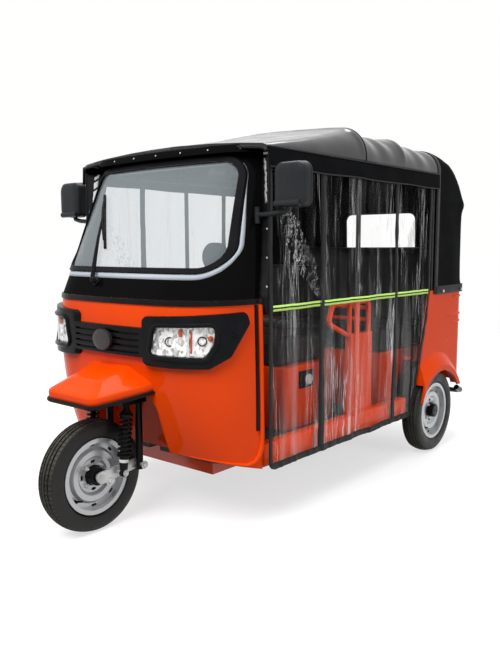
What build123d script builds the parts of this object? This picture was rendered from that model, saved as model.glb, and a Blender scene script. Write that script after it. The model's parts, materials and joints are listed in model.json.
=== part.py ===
"""Auto rickshaw: a three-wheeled passenger vehicle with a folding vinyl canopy and clear side curtains.

Frame: +X to the vehicle's left, +Y to the rear, +Z up, origin on the ground at the middle of its box.
Millimetres. Lengthwise places are given as distances behind the front axle and turned into Y by aft().
"""

import os
from collections import namedtuple
from math import atan2, cos, radians, sin

from build123d import *

os.makedirs("parts", exist_ok=True)

# Driving dimensions
wheelbase = 2020
rear_overhang = 493
track = 1190
tyre_radius = 243
tyre_width = 108
rim_flange_radius = 165
fit_gap = 0.3
face_gap = 1.0

overall_length = tyre_radius + wheelbase + rear_overhang
front_axle_y = tyre_radius - overall_length / 2


def aft(distance):
    """Y of a place that is this far behind the front axle."""
    return front_axle_y + distance


rear_axle_y = aft(wheelbase)
rear_end_y = overall_length / 2

# Cowl: plan sections, each a bowed nose between two rounded corners
belt_height = 1000
screen_top = 1640
cowl_wall = 14
cowl_bow = 60
door_front = 470
cowl_back = 780
Section = namedtuple("Section", "height nose half_width corner")
lower_sections = [
    Section(height=258, nose=256, half_width=572, corner=225),
    Section(height=800, nose=118, half_width=565, corner=300),
    Section(height=belt_height, nose=130, half_width=560, corner=300),
]
upper_sections = [
    Section(height=belt_height, nose=130, half_width=560, corner=300),
    Section(height=screen_top, nose=460, half_width=548, corner=200),
]

# Front wheel well and steering
well_half_width = 247
well_roof = 600
well_back = 362
well_wall = 8
steer_rake = 22
steer_aft = 160
steer_height = 500
stem_radius = 20
head_wall = 9
leg_aft = 190
leg_side = 97
leg_radius = 16
link_pivot_height = 265
damper_side = 112
damper_aft = 84

# Body behind the cowl
floor_top = 290
floor_thickness = 20
sill_height = 362
sill_width = 58
side_front = 560
side_rear = 600
tub_half_width = 618
tub_wall = 18
tub_corner = 115
tub_back = wheelbase + 456
tub_low = 362
tub_top = 955
hem_height = 935
quarter_front = wheelbase + 10
panel_front_top = wheelbase - 48
panel_front_low = wheelbase - 220
arch_radius = 276
arch_aft = wheelbase + 42
arch_height = 205
arch_lip = 36
flare_width = 73
flare_face_width = 32
flare_depth = 50
flare_lip = 13

# Canopy
fabric = 6
eave_height = 1560
Hoop = namedtuple("Hoop", "aft crown shoulder")
canopy_half_width = tub_half_width + fit_gap + fabric
canopy_taper = 20
leg_hoop = 1215
hoops = [
    Hoop(aft=door_front, crown=1664, shoulder=40),
    Hoop(aft=leg_hoop, crown=1828, shoulder=125),
    Hoop(aft=(leg_hoop + quarter_front) / 2, crown=1806, shoulder=125),
    Hoop(aft=quarter_front, crown=1782, shoulder=125),
]
crown_rise = 34


def canopy_half(distance):
    """Half width of the canopy at a distance behind the front axle: it narrows evenly to the front."""
    return canopy_half_width - canopy_taper * (quarter_front - distance) / (quarter_front - door_front)


# Rear wheel housings
housing_radius = 272
housing_wall = 7
housing_inner = 506

# Seats
panel_wall = 16
box_front = 925
box_back = 1360
box_half_width = 350
box_top = 612
bench_front = wheelbase - 380
bench_back = wheelbase + 420
bench_top = 615
bench_half_width = 470


def steer_plane(distance=0):
    """Plane square to the steering axis, this far up the axis from its reference point."""
    up = Vector(0, sin(radians(steer_rake)), cos(radians(steer_rake)))
    base = Vector(0, aft(steer_aft), steer_height)
    return Plane(origin=base + up * distance, x_dir=(1, 0, 0), z_dir=up)


def steer_point(height):
    """Point of the steering axis at this height."""
    along = (height - steer_height) / cos(radians(steer_rake))
    return steer_plane(along).origin


def save(piece, name):
    """Labels a finished piece and writes its file."""
    piece.label = name
    export_step(piece, f"parts/{name}.step")


def rod(start, end, radius, mode=Mode.ADD):
    """Adds a round bar between two points to the part being built."""
    axis = Vector(end) - Vector(start)
    with Locations(Plane(origin=start, z_dir=axis).location):
        Cylinder(radius, axis.length, align=(Align.CENTER, Align.CENTER, Align.MIN), mode=mode)


def bent_tube(points, bend, radius):
    """Adds a bent round tube along a filleted path to the part being built."""
    with BuildLine() as path:
        FilletPolyline(*points, radius=bend)
    with BuildSketch(Plane(origin=path.line @ 0, z_dir=path.line % 0)) as ring:
        Circle(radius)
    sweep(ring.sketch, path=path.line)


def block(low, high, mode=Mode.ADD):
    """Adds a box between two corners to the part being built."""
    size = [b - a for a, b in zip(low, high)]
    middle = tuple((a + b) / 2 for a, b in zip(low, high))
    with Locations(middle):
        Box(*size, mode=mode)


def outline_prism(plane, points, corner, depth):
    """A rounded polygon on a plane, extruded both ways by depth."""
    with BuildPart() as prism:
        with BuildSketch(plane) as shape:
            with BuildLine():
                Polyline(*points, close=True)
            make_face()
            if corner:
                fillet(shape.vertices(), corner)
        extrude(amount=depth, both=True)
    return prism.part


def cowl_block(sections, inset=0):
    """Solid lofted through the cowl's plan sections, drawn in by inset on every side but the back."""
    with BuildPart() as lofted:
        for row in sections:
            half = row.half_width - inset
            nose = aft(row.nose + inset)
            with BuildSketch(Plane.XY.offset(row.height)) as plan:
                with BuildLine():
                    ThreePointArc((half, nose + cowl_bow), (0, nose), (-half, nose + cowl_bow))
                    Polyline((-half, nose + cowl_bow), (-half, aft(cowl_back)), (half, aft(cowl_back)),
                             (half, nose + cowl_bow))
                make_face()
                front_corners = plan.vertices().sort_by(Axis.Y)[:2]
                fillet(front_corners, row.corner - inset)
        loft(ruled=len(sections) == 2)
    return lofted.part


SIDE = Plane(origin=(0, 0, 0), x_dir=(0, 1, 0), z_dir=(1, 0, 0))

# Lower cowl: the orange front, cut away for the wheel and for the door openings
well_corner = 90
cowl_reach = 700


def tunnel(grow, back):
    """Solid of the wheel well's tunnel, grown outwards, from ahead of the cowl to its back."""
    half = well_half_width + grow
    with BuildPart() as part:
        with BuildSketch(Plane.XZ.offset(-aft(back))) as arch:
            with BuildLine():
                Polyline((half, 0), (half, well_roof + grow), (-half, well_roof + grow), (-half, 0),
                         close=True)
            make_face()
            fillet(arch.vertices().group_by(Axis.Y)[-1], well_corner + grow)
        extrude(amount=cowl_reach)
    return part.part


lower_outer = cowl_block(lower_sections)
lower_inner = cowl_block(lower_sections, cowl_wall)
well_space = tunnel(0, well_back)
belly_rise = 80
door_trim = [
    (aft(door_front), belt_height + 10),
    (aft(door_front), lower_sections[0].height + 6),
    (aft(well_half_width - 60), lower_sections[0].height + 6 + belly_rise),
    (aft(-200), lower_sections[0].height + 6 + belly_rise),
    (aft(-200), 100),
    (aft(cowl_back + 50), 100),
    (aft(cowl_back + 50), belt_height + 10),
]
lower_trim = outline_prism(SIDE, door_trim, 0, cowl_reach)
with BuildPart() as front_cowl:
    add(lower_outer)
    add(lower_inner, mode=Mode.SUBTRACT)
    add(lower_trim, mode=Mode.SUBTRACT)
    add(well_space, mode=Mode.SUBTRACT)
save(front_cowl.part, "front_cowl")

# Wheel well: the tunnel's liner, closed behind the wheel, with a hole for the steering head
head_radius = stem_radius + head_wall
well_outer = tunnel(well_wall, well_back + well_wall)
well_limit = cowl_block(lower_sections, cowl_wall + fit_gap)
with BuildPart() as wheel_well:
    add(well_outer)
    add(well_space, mode=Mode.SUBTRACT)
    add(well_limit, mode=Mode.INTERSECT)
    add(lower_trim, mode=Mode.SUBTRACT)
    with Locations(steer_plane().location):
        Cylinder(head_radius + fit_gap, cowl_reach, mode=Mode.SUBTRACT)
save(wheel_well.part, "wheel_well")

# Steering head: the fixed tube that the fork's stem turns in
head_low = 612
head_high = 760
with BuildPart() as steering_head:
    rod(steer_point(head_low), steer_point(head_high), head_radius)
    rod(steer_point(head_low - 50), steer_point(head_high + 50), stem_radius + fit_gap, Mode.SUBTRACT)
save(steering_head.part, "steering_head")

# Upper cowl: the black band and pillars around the windscreen
upper_outer = cowl_block(upper_sections)
upper_inner = cowl_block(upper_sections, cowl_wall)
screen_outline = [(514, 1118), (466, 1586), (-466, 1586), (-514, 1118)]
screen_corner = 95
pillar_top_aft = 560
pillar_cut = [
    (aft(door_front), belt_height - 10),
    (aft(pillar_top_aft), screen_top + 10),
    (aft(cowl_back + 50), screen_top + 10),
    (aft(cowl_back + 50), belt_height - 10),
]


def screen_prism(grow):
    """Prism of the windscreen's outline, grown outwards, along the vehicle."""
    points = [(x + (grow if x > 0 else -grow), z + (grow if z > 1300 else -grow)) for x,
              z in screen_outline]
    return outline_prism(Plane.XZ, points, screen_corner + grow, overall_length)


seal_lap = 11
seal_proud = 9
glass_inset = 3
glass_thickness = 5
upper_trim = outline_prism(SIDE, pillar_cut, 0, cowl_reach)
with BuildPart() as windscreen_frame:
    add(upper_outer)
    add(upper_inner, mode=Mode.SUBTRACT)
    add(upper_trim, mode=Mode.SUBTRACT)
    add(screen_prism(0), mode=Mode.SUBTRACT)
save(windscreen_frame.part, "windscreen_frame")

with BuildPart() as windscreen_glass:
    add(cowl_block(upper_sections, glass_inset))
    add(cowl_block(upper_sections, glass_inset + glass_thickness), mode=Mode.SUBTRACT)
    add(screen_prism(-fit_gap), mode=Mode.INTERSECT)
    add(upper_trim, mode=Mode.SUBTRACT)
save(windscreen_glass.part, "windscreen_glass")

with BuildPart() as windscreen_seal:
    add(cowl_block(upper_sections, -seal_proud))
    add(cowl_block(upper_sections, -fit_gap), mode=Mode.SUBTRACT)
    add(screen_prism(seal_lap), mode=Mode.INTERSECT)
    add(screen_prism(-seal_lap), mode=Mode.SUBTRACT)
    add(upper_trim, mode=Mode.SUBTRACT)
save(windscreen_seal.part, "windscreen_seal")

# Belt trim: the rubber moulding that covers the joint between the two cowls
belt_trim_height = 22
belt_trim_proud = 7
with BuildPart() as belt_trim:
    add(cowl_block(lower_sections, -belt_trim_proud))
    add(cowl_block(lower_sections, -fit_gap), mode=Mode.SUBTRACT)
    block((-cowl_reach, aft(-300), belt_height - belt_trim_height),
          (cowl_reach, aft(door_front), belt_height + 10),
          Mode.INTERSECT)
save(belt_trim.part, "belt_trim")

# Visor: the sheet eyebrow over the windscreen
visor_low = 1606
visor_proud = 38
visor_tuck = 8
with BuildPart() as visor:
    add(cowl_block(upper_sections, -visor_proud))
    add(cowl_block(upper_sections, -fit_gap), mode=Mode.SUBTRACT)
    block((-cowl_reach, aft(-300), visor_low), (cowl_reach, aft(pillar_top_aft - 20), screen_top),
          Mode.INTERSECT)
    block((-cowl_reach, aft(hoops[0].aft - fit_gap), screen_top - visor_tuck),
          (cowl_reach, aft(pillar_top_aft), screen_top), Mode.SUBTRACT)
save(visor.part, "visor")

# Lamp bezel and grille: a raised band that wraps round the cowl's corners
bezel_proud = 24
lamp_turn = 44
LAMP_ORIGIN = Vector(262, aft(117), 0)


def lamp_plane(side):
    """Upright plane across a headlamp, its X running outwards and back along the cowl's corner."""
    across = Vector(side * cos(radians(lamp_turn)), sin(radians(lamp_turn)), 0)
    out = Vector(side * sin(radians(lamp_turn)), -cos(radians(lamp_turn)), 0)
    if side < 0:
        across, out = -across, out
    return Plane(origin=(side * LAMP_ORIGIN.X, LAMP_ORIGIN.Y, 0), x_dir=across, z_dir=out)


bezel_outline = [(-34, 730), (-34, 932), (396, 952), (412, 905), (330, 772), (240, 727)]
bezel_corner = 26
lens_outline = [(0, 776), (22, 892), (268, 896), (262, 828), (226, 772)]
lens_corner = 18
emblem_radius = 41
emblem_height = 822
grille_low = emblem_height - 60
grille_high = emblem_height + 62
grille_outline = [(262, grille_low), (262, grille_high), (-262, grille_high), (-262, grille_low)]
lamp_reach = 260
groove_count = 4
groove_first = grille_low + 18
groove_pitch = 26
groove_heights = [groove_first + number * groove_pitch for number in range(groove_count)]
groove_height = 10
groove_depth = 12
grille_half_width = 212


def lamp_prism(side, points, corner, grow=0):
    """Prism across one headlamp through the cowl's skin; points run outwards from the lamp's inner edge."""
    turned = [(side * (x + (grow if x > 150 else -grow)), z + (grow if z > 830 else -grow)) for x,
              z in points]
    return outline_prism(lamp_plane(side), turned, corner, lamp_reach)


bezel_skin = cowl_block(lower_sections, -bezel_proud)
bezel_base = cowl_block(lower_sections, -fit_gap)
groove_floor = cowl_block(lower_sections, groove_depth - bezel_proud)
lamp_limit_low = (-cowl_reach, aft(-300), 600)
lamp_limit_high = (cowl_reach, aft(door_front - 20), belt_height - belt_trim_height - face_gap)
with BuildPart() as grooves:
    for height in groove_heights:
        block((-grille_half_width, aft(-300), height - groove_height / 2),
              (grille_half_width, aft(door_front), height + groove_height / 2))
    add(groove_floor, mode=Mode.SUBTRACT)
with BuildPart() as lamp_bezel:
    add(outline_prism(Plane.XZ, grille_outline, 0, overall_length))
    for side in (1, -1):
        add(lamp_prism(side, bezel_outline, bezel_corner))
    add(bezel_skin, mode=Mode.INTERSECT)
    add(bezel_base, mode=Mode.SUBTRACT)
    block(lamp_limit_low, lamp_limit_high, Mode.INTERSECT)
    for side in (1, -1):
        add(lamp_prism(side, lens_outline, lens_corner), mode=Mode.SUBTRACT)
    add(grooves.part, mode=Mode.SUBTRACT)
    with Locations(Plane.XZ.offset(-aft(lower_sections[1].nose - bezel_proud)).location):
        with Locations((0, emblem_height)):
            Cylinder(emblem_radius, 2 * groove_depth)
save(lamp_bezel.part, "lamp_bezel")

lens_recess = 5
lens_skin = cowl_block(lower_sections, lens_recess - bezel_proud)
with BuildPart() as headlamps:
    for side in (1, -1):
        add(lamp_prism(side, lens_outline, lens_corner, -fit_gap))
    add(lens_skin, mode=Mode.INTERSECT)
    add(bezel_base, mode=Mode.SUBTRACT)
    block(lamp_limit_low, lamp_limit_high, Mode.INTERSECT)
save(headlamps.part, "headlamps")

# Mudguard: a beak over the front wheel with a raised middle, open below, seated on the cowl
Rib = namedtuple("Rib", "aft half_width low side plateau top")
beak_sections = [
    Rib(aft=-105, half_width=158, low=575, side=617, plateau=92, top=632),
    Rib(aft=260, half_width=283, low=631, side=668, plateau=140, top=755),
]
beak_wall = 6


def beak_block(wall=0, open_below=0):
    """Solid lofted through the mudguard's ribs, drawn in by a wall and carried on below its edge."""
    with BuildPart() as lofted:
        for row in beak_sections:
            edge = row.half_width - wall
            flat = row.plateau - wall / 2
            with BuildSketch(Plane.XZ.offset(-aft(row.aft + wall))):
                with BuildLine():
                    Polyline((edge, row.low - open_below), (edge, row.side - wall), (flat, row.top - wall),
                             (-flat, row.top - wall), (-edge, row.side - wall),
                             (-edge, row.low - open_below),
                             close=True)
                make_face()
        loft(ruled=True)
    return lofted.part


beak_inner = beak_block(beak_wall, 60)
with BuildPart() as front_mudguard:
    add(beak_block())
    add(beak_inner, mode=Mode.SUBTRACT)
    add(bezel_base, mode=Mode.SUBTRACT)
save(front_mudguard.part, "front_mudguard")

# Wiper: spindle, arm and blade standing off the glass
Stand = namedtuple("Stand", "x height lift")
wiper_spindle = Stand(x=-130, height=1060, lift=20)
blade_ends = [Stand(x=-150, height=1205, lift=19), Stand(x=-320, height=1455, lift=19)]
wiper_arm_tip = Stand(x=(blade_ends[0].x + blade_ends[1].x) / 2,
                      height=(blade_ends[0].height + blade_ends[1].height) / 2, lift=24)


def off_screen(place):
    """Point lifted squarely off the sloping screen at a given side place and height."""
    low, high = upper_sections
    slope = (high.nose - low.nose) / (high.height - low.height)
    lean = atan2(slope, 1)
    bow = cowl_bow * (place.x / low.half_width) ** 2
    surface = low.nose + slope * (place.height - low.height) + bow
    return (place.x, aft(surface - place.lift * cos(lean)), place.height + place.lift * sin(lean))


upper_seat = cowl_block(upper_sections, -fit_gap)
with BuildPart() as wiper:
    rod(off_screen(wiper_spindle._replace(lift=-10)), off_screen(wiper_spindle._replace(lift=30)), 11)
    rod(off_screen(wiper_spindle), off_screen(wiper_arm_tip), 5)
    rod(off_screen(blade_ends[0]), off_screen(blade_ends[1]), 6)
    add(upper_seat, mode=Mode.SUBTRACT)
save(wiper.part, "wiper")

# Mirrors: a rounded housing on an arm from each pillar
mirror_low = (640, aft(450), 1372)
mirror_high = (792, aft(510), 1550)
mirror_arm_aft = 480
mirror_round = 22
with BuildPart() as mirrors:
    block(mirror_low, mirror_high)
    fillet(mirrors.edges(), mirror_round)
    bent_tube([(500, aft(mirror_arm_aft), 1340), (590, aft(mirror_arm_aft), 1345),
               (680, aft(mirror_arm_aft), 1400)], 60, 8)
    add(upper_seat, mode=Mode.SUBTRACT)
    mirror(about=Plane.YZ)
save(mirrors.part, "mirrors")

# Dashboard: a shelf under the windscreen with one round pod
shelf_low = 1040
shelf_high = 1068
shelf_back = 400
pod_side = 400
pod_aft = shelf_back - 30
pod_half_depth = 20
pod_radius = 60
pod_height = 1172
with BuildPart() as dashboard:
    add(cowl_block(upper_sections, cowl_wall + fit_gap))
    block((-cowl_reach, aft(-300), shelf_low), (cowl_reach, aft(shelf_back), shelf_high), Mode.INTERSECT)
    rod((pod_side, aft(pod_aft), shelf_high - 5), (pod_side, aft(pod_aft), pod_height), 12)
    rod((pod_side, aft(pod_aft - pod_half_depth), pod_height),
        (pod_side, aft(pod_aft + pod_half_depth), pod_height), pod_radius)
save(dashboard.part, "dashboard")

# Fork: stem, crown and two legs behind the axle
crown_low = 546
crown_high = 572
crown_half_width = 132
stem_top = 924
pin_radius = 9
with BuildPart() as fork:
    rod(steer_point(crown_low + 5), steer_point(stem_top), stem_radius)
    block((-crown_half_width, aft(72), crown_low),
          (crown_half_width, aft(leg_aft + leg_radius), crown_high))
    for side in (1, -1):
        rod((side * leg_side, aft(leg_aft), link_pivot_height - 24),
            (side * leg_side, aft(leg_aft), crown_low + 5),
            leg_radius)
    rod((-crown_half_width, aft(leg_aft), link_pivot_height),
        (crown_half_width, aft(leg_aft), link_pivot_height),
        pin_radius + fit_gap, Mode.SUBTRACT)
save(fork.part, "fork")

# Leading links with the pivot pins, the damper pins and the front axle
link_thickness = 12
link_outer = leg_side - leg_radius - face_gap
link_inner = link_outer - link_thickness
axle_radius = 10
damper_pin_height = 253
damper_pin_radius = 7
damper_eye = 12
with BuildPart() as front_links:
    rod((-link_outer, aft(0), tyre_radius), (link_outer, aft(0), tyre_radius), axle_radius)
    for side in (1, -1):
        with BuildSketch(Plane(origin=(side * (link_inner + link_outer) / 2, 0, 0), x_dir=(0, 1, 0),
                               z_dir=(1, 0, 0))):
            with Locations((aft(leg_aft), link_pivot_height)):
                Circle(22)
            with Locations((aft(0), tyre_radius)):
                Circle(26)
            make_hull()
        extrude(amount=link_thickness / 2, both=True)
        rod((side * link_inner, aft(leg_aft), link_pivot_height),
            (side * (leg_side + leg_radius + 6), aft(leg_aft), link_pivot_height), pin_radius)
        rod((side * link_inner, aft(damper_aft), damper_pin_height),
            (side * (damper_side + damper_eye + 6), aft(damper_aft), damper_pin_height), damper_pin_radius)
save(front_links.part, "front_links")

# Spring dampers between the links and the crown, each with its coil as a stack of turns
coil_turns = 9
coil_radius = 24
coil_core = 17
with BuildPart() as front_dampers:
    for side in (1, -1):
        foot = Vector(side * damper_side, aft(damper_aft), damper_pin_height)
        head = Vector(side * damper_side, aft(damper_aft + 26), crown_low - fit_gap)
        rise = head - foot
        rod(foot, head, coil_core)
        for turn in range(coil_turns):
            start = foot + rise * (0.16 + 0.8 * turn / coil_turns)
            rod(start, start + rise.normalized() * 12, coil_radius)
        rod(foot - Vector(damper_eye, 0, 0), foot + Vector(damper_eye, 0, 0), damper_pin_radius + 10)
        rod(foot - Vector(60, 0, 0), foot + Vector(60, 0, 0), damper_pin_radius + fit_gap, Mode.SUBTRACT)
    block((-300, aft(-300), crown_low - fit_gap), (300, aft(500), crown_low + 200), Mode.SUBTRACT)
save(front_dampers.part, "front_dampers")

# Handlebar: clamp on the stem, swept bar and two grips
bar_height = 948
bar_half_width = 300
grip_length = 115
grip_radius = 16
bar_radius = 11
bar_aft = steer_point(bar_height).Y - front_axle_y
bar_points = [
    (bar_half_width, aft(bar_aft + 150), bar_height - 10),
    (110, aft(bar_aft), bar_height),
    (-110, aft(bar_aft), bar_height),
    (-bar_half_width, aft(bar_aft + 150), bar_height - 10),
]
with BuildPart() as handlebar:
    rod(steer_point(900), steer_point(bar_height + 18), 32)
    rod(steer_point(880), steer_point(stem_top + face_gap), stem_radius + fit_gap, Mode.SUBTRACT)
    bent_tube(bar_points, 60, bar_radius)
    for end, inner in ((bar_points[0], bar_points[1]), (bar_points[3], bar_points[2])):
        run = (Vector(inner) - Vector(end)).normalized()
        rod(Vector(end), Vector(end) + run * grip_length, grip_radius)
save(handlebar.part, "handlebar")

# Wheels: a tyre and a pressed rim each, turned about their own axle
bead_half_width = 38
bead_radius = 152
bead_lip = 3
bulge_radius = 204
tread_half_width = 37
rim_sheet = 6
hub_radius = 38
hub_half_width = 50
slot_count = 8
lug_count = 4
Wheel = namedtuple("Wheel", "name x y bore outside")
stub_radius = 15
wheels = [
    Wheel(name="front", x=0, y=aft(0), bore=axle_radius, outside=1),
    Wheel(name="rear_left", x=track / 2, y=rear_axle_y, bore=stub_radius, outside=1),
    Wheel(name="rear_right", x=-track / 2, y=rear_axle_y, bore=stub_radius, outside=-1),
]
for wheel in wheels:
    centre = (wheel.x, wheel.y, tyre_radius)
    half_plane = Plane(origin=centre, x_dir=(wheel.outside, 0, 0), z_dir=(0, -wheel.outside, 0))
    spin = Axis(centre, (1, 0, 0))
    seat = bead_radius + fit_gap
    outer = rim_flange_radius + bead_lip
    with BuildPart() as tyre:
        with BuildSketch(half_plane):
            with BuildLine():
                Polyline((-bead_half_width, outer), (-bead_half_width, seat), (bead_half_width, seat),
                         (bead_half_width, outer), (tyre_width / 2, bulge_radius),
                         (tread_half_width, tyre_radius), (-tread_half_width, tyre_radius),
                         (-tyre_width / 2, bulge_radius), close=True)
            make_face()
        revolve(axis=spin)
    save(tyre.part, f"{wheel.name}_tyre")
    flange = bead_half_width + fit_gap
    with BuildPart() as rim:
        with BuildSketch(half_plane):
            with BuildLine():
                Polyline((-flange - rim_sheet, rim_flange_radius), (-flange, rim_flange_radius),
                         (-flange, bead_radius),
                         (flange, bead_radius), (flange, rim_flange_radius),
                         (flange + rim_sheet, rim_flange_radius),
                         (flange + rim_sheet, bead_radius - rim_sheet), (12, bead_radius - rim_sheet),
                         (12, 122),
                         (26, 110), (26, 86), (14, 74), (14, hub_radius), (hub_half_width, hub_radius),
                         (hub_half_width, wheel.bore + fit_gap), (-hub_half_width, wheel.bore + fit_gap),
                         (-hub_half_width, hub_radius), (14 - rim_sheet, hub_radius), (14 - rim_sheet, 76),
                         (26 - rim_sheet, 88), (26 - rim_sheet, 108), (12 - rim_sheet, 120),
                         (12 - rim_sheet, bead_radius - rim_sheet),
                         (-flange - rim_sheet, bead_radius - rim_sheet),
                         close=True)
            make_face()
        revolve(axis=spin)
        with BuildSketch(Plane(origin=centre, x_dir=(0, 1, 0), z_dir=(1, 0, 0))):
            with PolarLocations(133, slot_count):
                SlotOverall(26, 12, rotation=90)
            with PolarLocations(60, lug_count):
                SlotOverall(24, 13, rotation=90)
        extrude(amount=hub_half_width, both=True, mode=Mode.SUBTRACT)
    save(rim.part, f"{wheel.name}_rim")

# Chassis frame: two rails, cross members, the bumper tube and the tow eye
rail_side = 300
rail_width = 50
rail_low = 200
rail_high = floor_top - floor_thickness
rail_front = 420
rail_back = wheelbase + 360
cross_members = [rail_front, box_front + 75, bench_front - 80, rail_back - rail_width]
upright_half_width = 35
arm_low = 690
arm_high = 745
bumper_radius = 16
bumper_height = 280
bumper_half_width = 612
bumper_return = 97
bumper_y = rear_end_y - bumper_radius
tow_hole_radius = 14
tow_aft = rail_back + 82
tow_thickness = 12
with BuildPart() as chassis_frame:
    for side in (1, -1):
        middle = side * rail_side
        block((middle - rail_width / 2, aft(rail_front), rail_low),
              (middle + rail_width / 2, aft(rail_back), rail_high))
        rod((middle, aft(rail_back - 20), (rail_low + rail_high) / 2), (middle, bumper_y, bumper_height),
            bumper_radius)
    for place in cross_members:
        block((-rail_side, aft(place), rail_low), (rail_side, aft(place + rail_width), rail_high))
    bent_tube([(bumper_half_width, bumper_y - bumper_return, bumper_height + 40),
               (bumper_half_width, bumper_y, bumper_height),
               (-bumper_half_width, bumper_y, bumper_height), (-bumper_half_width, bumper_y - bumper_return,
                                                      bumper_height + 40)],
              50, bumper_radius)
    block((-upright_half_width, aft(rail_back - 20), rail_low + 20),
          (upright_half_width, aft(tow_aft + 30), rail_low + 20 + tow_thickness))
    with Locations((0, aft(tow_aft), rail_low + 20 + tow_thickness / 2)):
        Cylinder(tow_hole_radius, 2 * tow_thickness, mode=Mode.SUBTRACT)
save(chassis_frame.part, "chassis_frame")

# Steering upright: a post on the front cross member and an arm that holds the steering head
upright_depth = 40
with BuildPart() as steering_upright:
    block((-upright_half_width, aft(rail_front), rail_high),
          (upright_half_width, aft(rail_front + upright_depth),
          arm_high))
    block((-upright_half_width, steer_point(arm_low).Y, arm_low), (upright_half_width,
          aft(rail_front + upright_depth), arm_high))
    rod(steer_point(head_low - 20), steer_point(head_high + 60), head_radius + fit_gap, Mode.SUBTRACT)
save(steering_upright.part, "steering_upright")


def side_at(distance):
    """Outer side of the sills at a distance behind the front axle."""
    share = (distance - door_front) / (panel_front_low - door_front)
    return side_front + (side_rear - side_front) * share


# Floor pan and side sills
floor_front = well_back + well_wall + face_gap
sill_start = door_front + face_gap
sill_end = wheelbase - housing_radius - housing_wall - face_gap
with BuildPart() as floor_pan:
    with BuildSketch(Plane.XY.offset(floor_top - floor_thickness)):
        toe = rail_side + rail_width
        inner_front = side_at(door_front) - sill_width - fit_gap
        inner_back = side_at(bench_front) - sill_width - fit_gap
        with BuildLine():
            Polyline((toe, aft(floor_front)), (inner_front, aft(door_front)),
                     (inner_back, aft(bench_front - face_gap)),
                     (-inner_back, aft(bench_front - face_gap)), (-inner_front, aft(door_front)),
                     (-toe, aft(floor_front)), close=True)
        make_face()
    extrude(amount=floor_thickness)
    block((-upright_half_width - fit_gap, aft(floor_front), 0),
          (upright_half_width + fit_gap, aft(rail_front + upright_depth + fit_gap), floor_top),
          Mode.SUBTRACT)
save(floor_pan.part, "floor_pan")

sill_low = 262
with BuildPart() as side_sills:
    with BuildSketch(Plane.XY.offset(sill_low)):
        with BuildLine():
            Polyline((side_at(sill_start), aft(sill_start)), (side_at(sill_end), aft(sill_end)),
                     (side_at(sill_end) - sill_width, aft(sill_end)),
                     (side_at(sill_start) - sill_width, aft(sill_start)), close=True)
        make_face()
    extrude(amount=sill_height - sill_low)
    mirror(about=Plane.YZ)
save(side_sills.part, "side_sills")

# Rear running gear: pivot tube, trailing arms, stub axles and half shafts in one, and the engine as a block
engine_half_width = 180
engine_low = (-engine_half_width, aft(wheelbase - 160), 190)
engine_high = (engine_half_width, aft(wheelbase + 280), 500)
pivot_radius = 17
pivot_aft = bench_front + 20
arm_radius = 20
carrier_side = 500
shaft_radius = 12
shaft_height = 330
carrier_radius = 70
with BuildPart() as engine_block:
    block(engine_low, engine_high)
    fillet(engine_block.edges(), 20)
save(engine_block.part, "engine_block")

with BuildPart() as rear_axle:
    pivot_height = rail_low - pivot_radius - fit_gap
    rod((-440, aft(pivot_aft), pivot_height), (440, aft(pivot_aft), pivot_height), pivot_radius)
    for side in (1, -1):
        rod((side * 425, aft(pivot_aft), pivot_height), (side * carrier_side, rear_axle_y, tyre_radius),
            arm_radius)
        rod((side * (carrier_side - 20), rear_axle_y, tyre_radius),
            (side * (track / 2 + hub_half_width), rear_axle_y,
            tyre_radius), stub_radius)
        rod((side * (carrier_side + 6), rear_axle_y, tyre_radius), (side * (carrier_side + 22), rear_axle_y,
            tyre_radius), carrier_radius)
        rod((side * (engine_half_width + fit_gap), rear_axle_y, shaft_height),
            (side * carrier_side, rear_axle_y, tyre_radius), shaft_radius)
    block((-engine_half_width - fit_gap, aft(wheelbase - 200), rail_low + 5),
          (engine_half_width + fit_gap, aft(wheelbase + 280), 500), Mode.SUBTRACT)
save(rear_axle.part, "rear_axle")

# Bench base: an open box over the engine, with wings across the front and the damper brackets
damper_x = 490
rear_damper_aft = wheelbase - 55
bracket_low = 540
wing_half_width = 560
rear_damper_radius = 14
with BuildPart() as bench_base:
    block((-bench_half_width, aft(bench_front), floor_top), (bench_half_width, aft(bench_back), bench_top))
    block((-bench_half_width + panel_wall, aft(bench_front + panel_wall), 0),
          (bench_half_width - panel_wall, aft(bench_back + 10), bench_top - panel_wall), Mode.SUBTRACT)
    for side in (1, -1):
        inner, outer = sorted((side * (bench_half_width - 2), side * wing_half_width))
        block((inner, aft(bench_front), sill_height + fit_gap),
              (outer, aft(bench_front + panel_wall), bench_top))
        inner, outer = sorted((side * (bench_half_width - 2), side * (damper_x + rear_damper_radius)))
        block((inner, aft(rear_damper_aft - 20), bracket_low),
              (outer, aft(rear_damper_aft + 20), bracket_low + 20))
save(bench_base.part, "bench_base")

arm_rise = 4
with BuildPart() as rear_dampers:
    arm_share = (rear_damper_aft - pivot_aft) / (wheelbase - pivot_aft)
    arm_height = pivot_height + (tyre_radius - pivot_height) * arm_share
    arm_top = arm_height + arm_radius + arm_rise
    for side in (1, -1):
        rod((side * damper_x, aft(rear_damper_aft), arm_top), (side * damper_x, aft(rear_damper_aft),
            bracket_low - fit_gap), rear_damper_radius)
save(rear_dampers.part, "rear_dampers")

# Wheel housings: arched liners over the rear wheels
with BuildPart() as wheel_housings:
    for side in (1, -1):
        start = (side * housing_inner, rear_axle_y, tyre_radius)
        end = (side * (tub_half_width - tub_wall - fit_gap), rear_axle_y, tyre_radius)
        rod(start, end, housing_radius + housing_wall)
        rod(start, end, housing_radius, Mode.SUBTRACT)
    block((-cowl_reach, aft(bench_front), -100), (cowl_reach, aft(tub_back), floor_top + 10), Mode.SUBTRACT)
save(wheel_housings.part, "wheel_housings")

# Rear tub: two side panels with flared arches, and the back panel with its engine lid
side_break = 430


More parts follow.
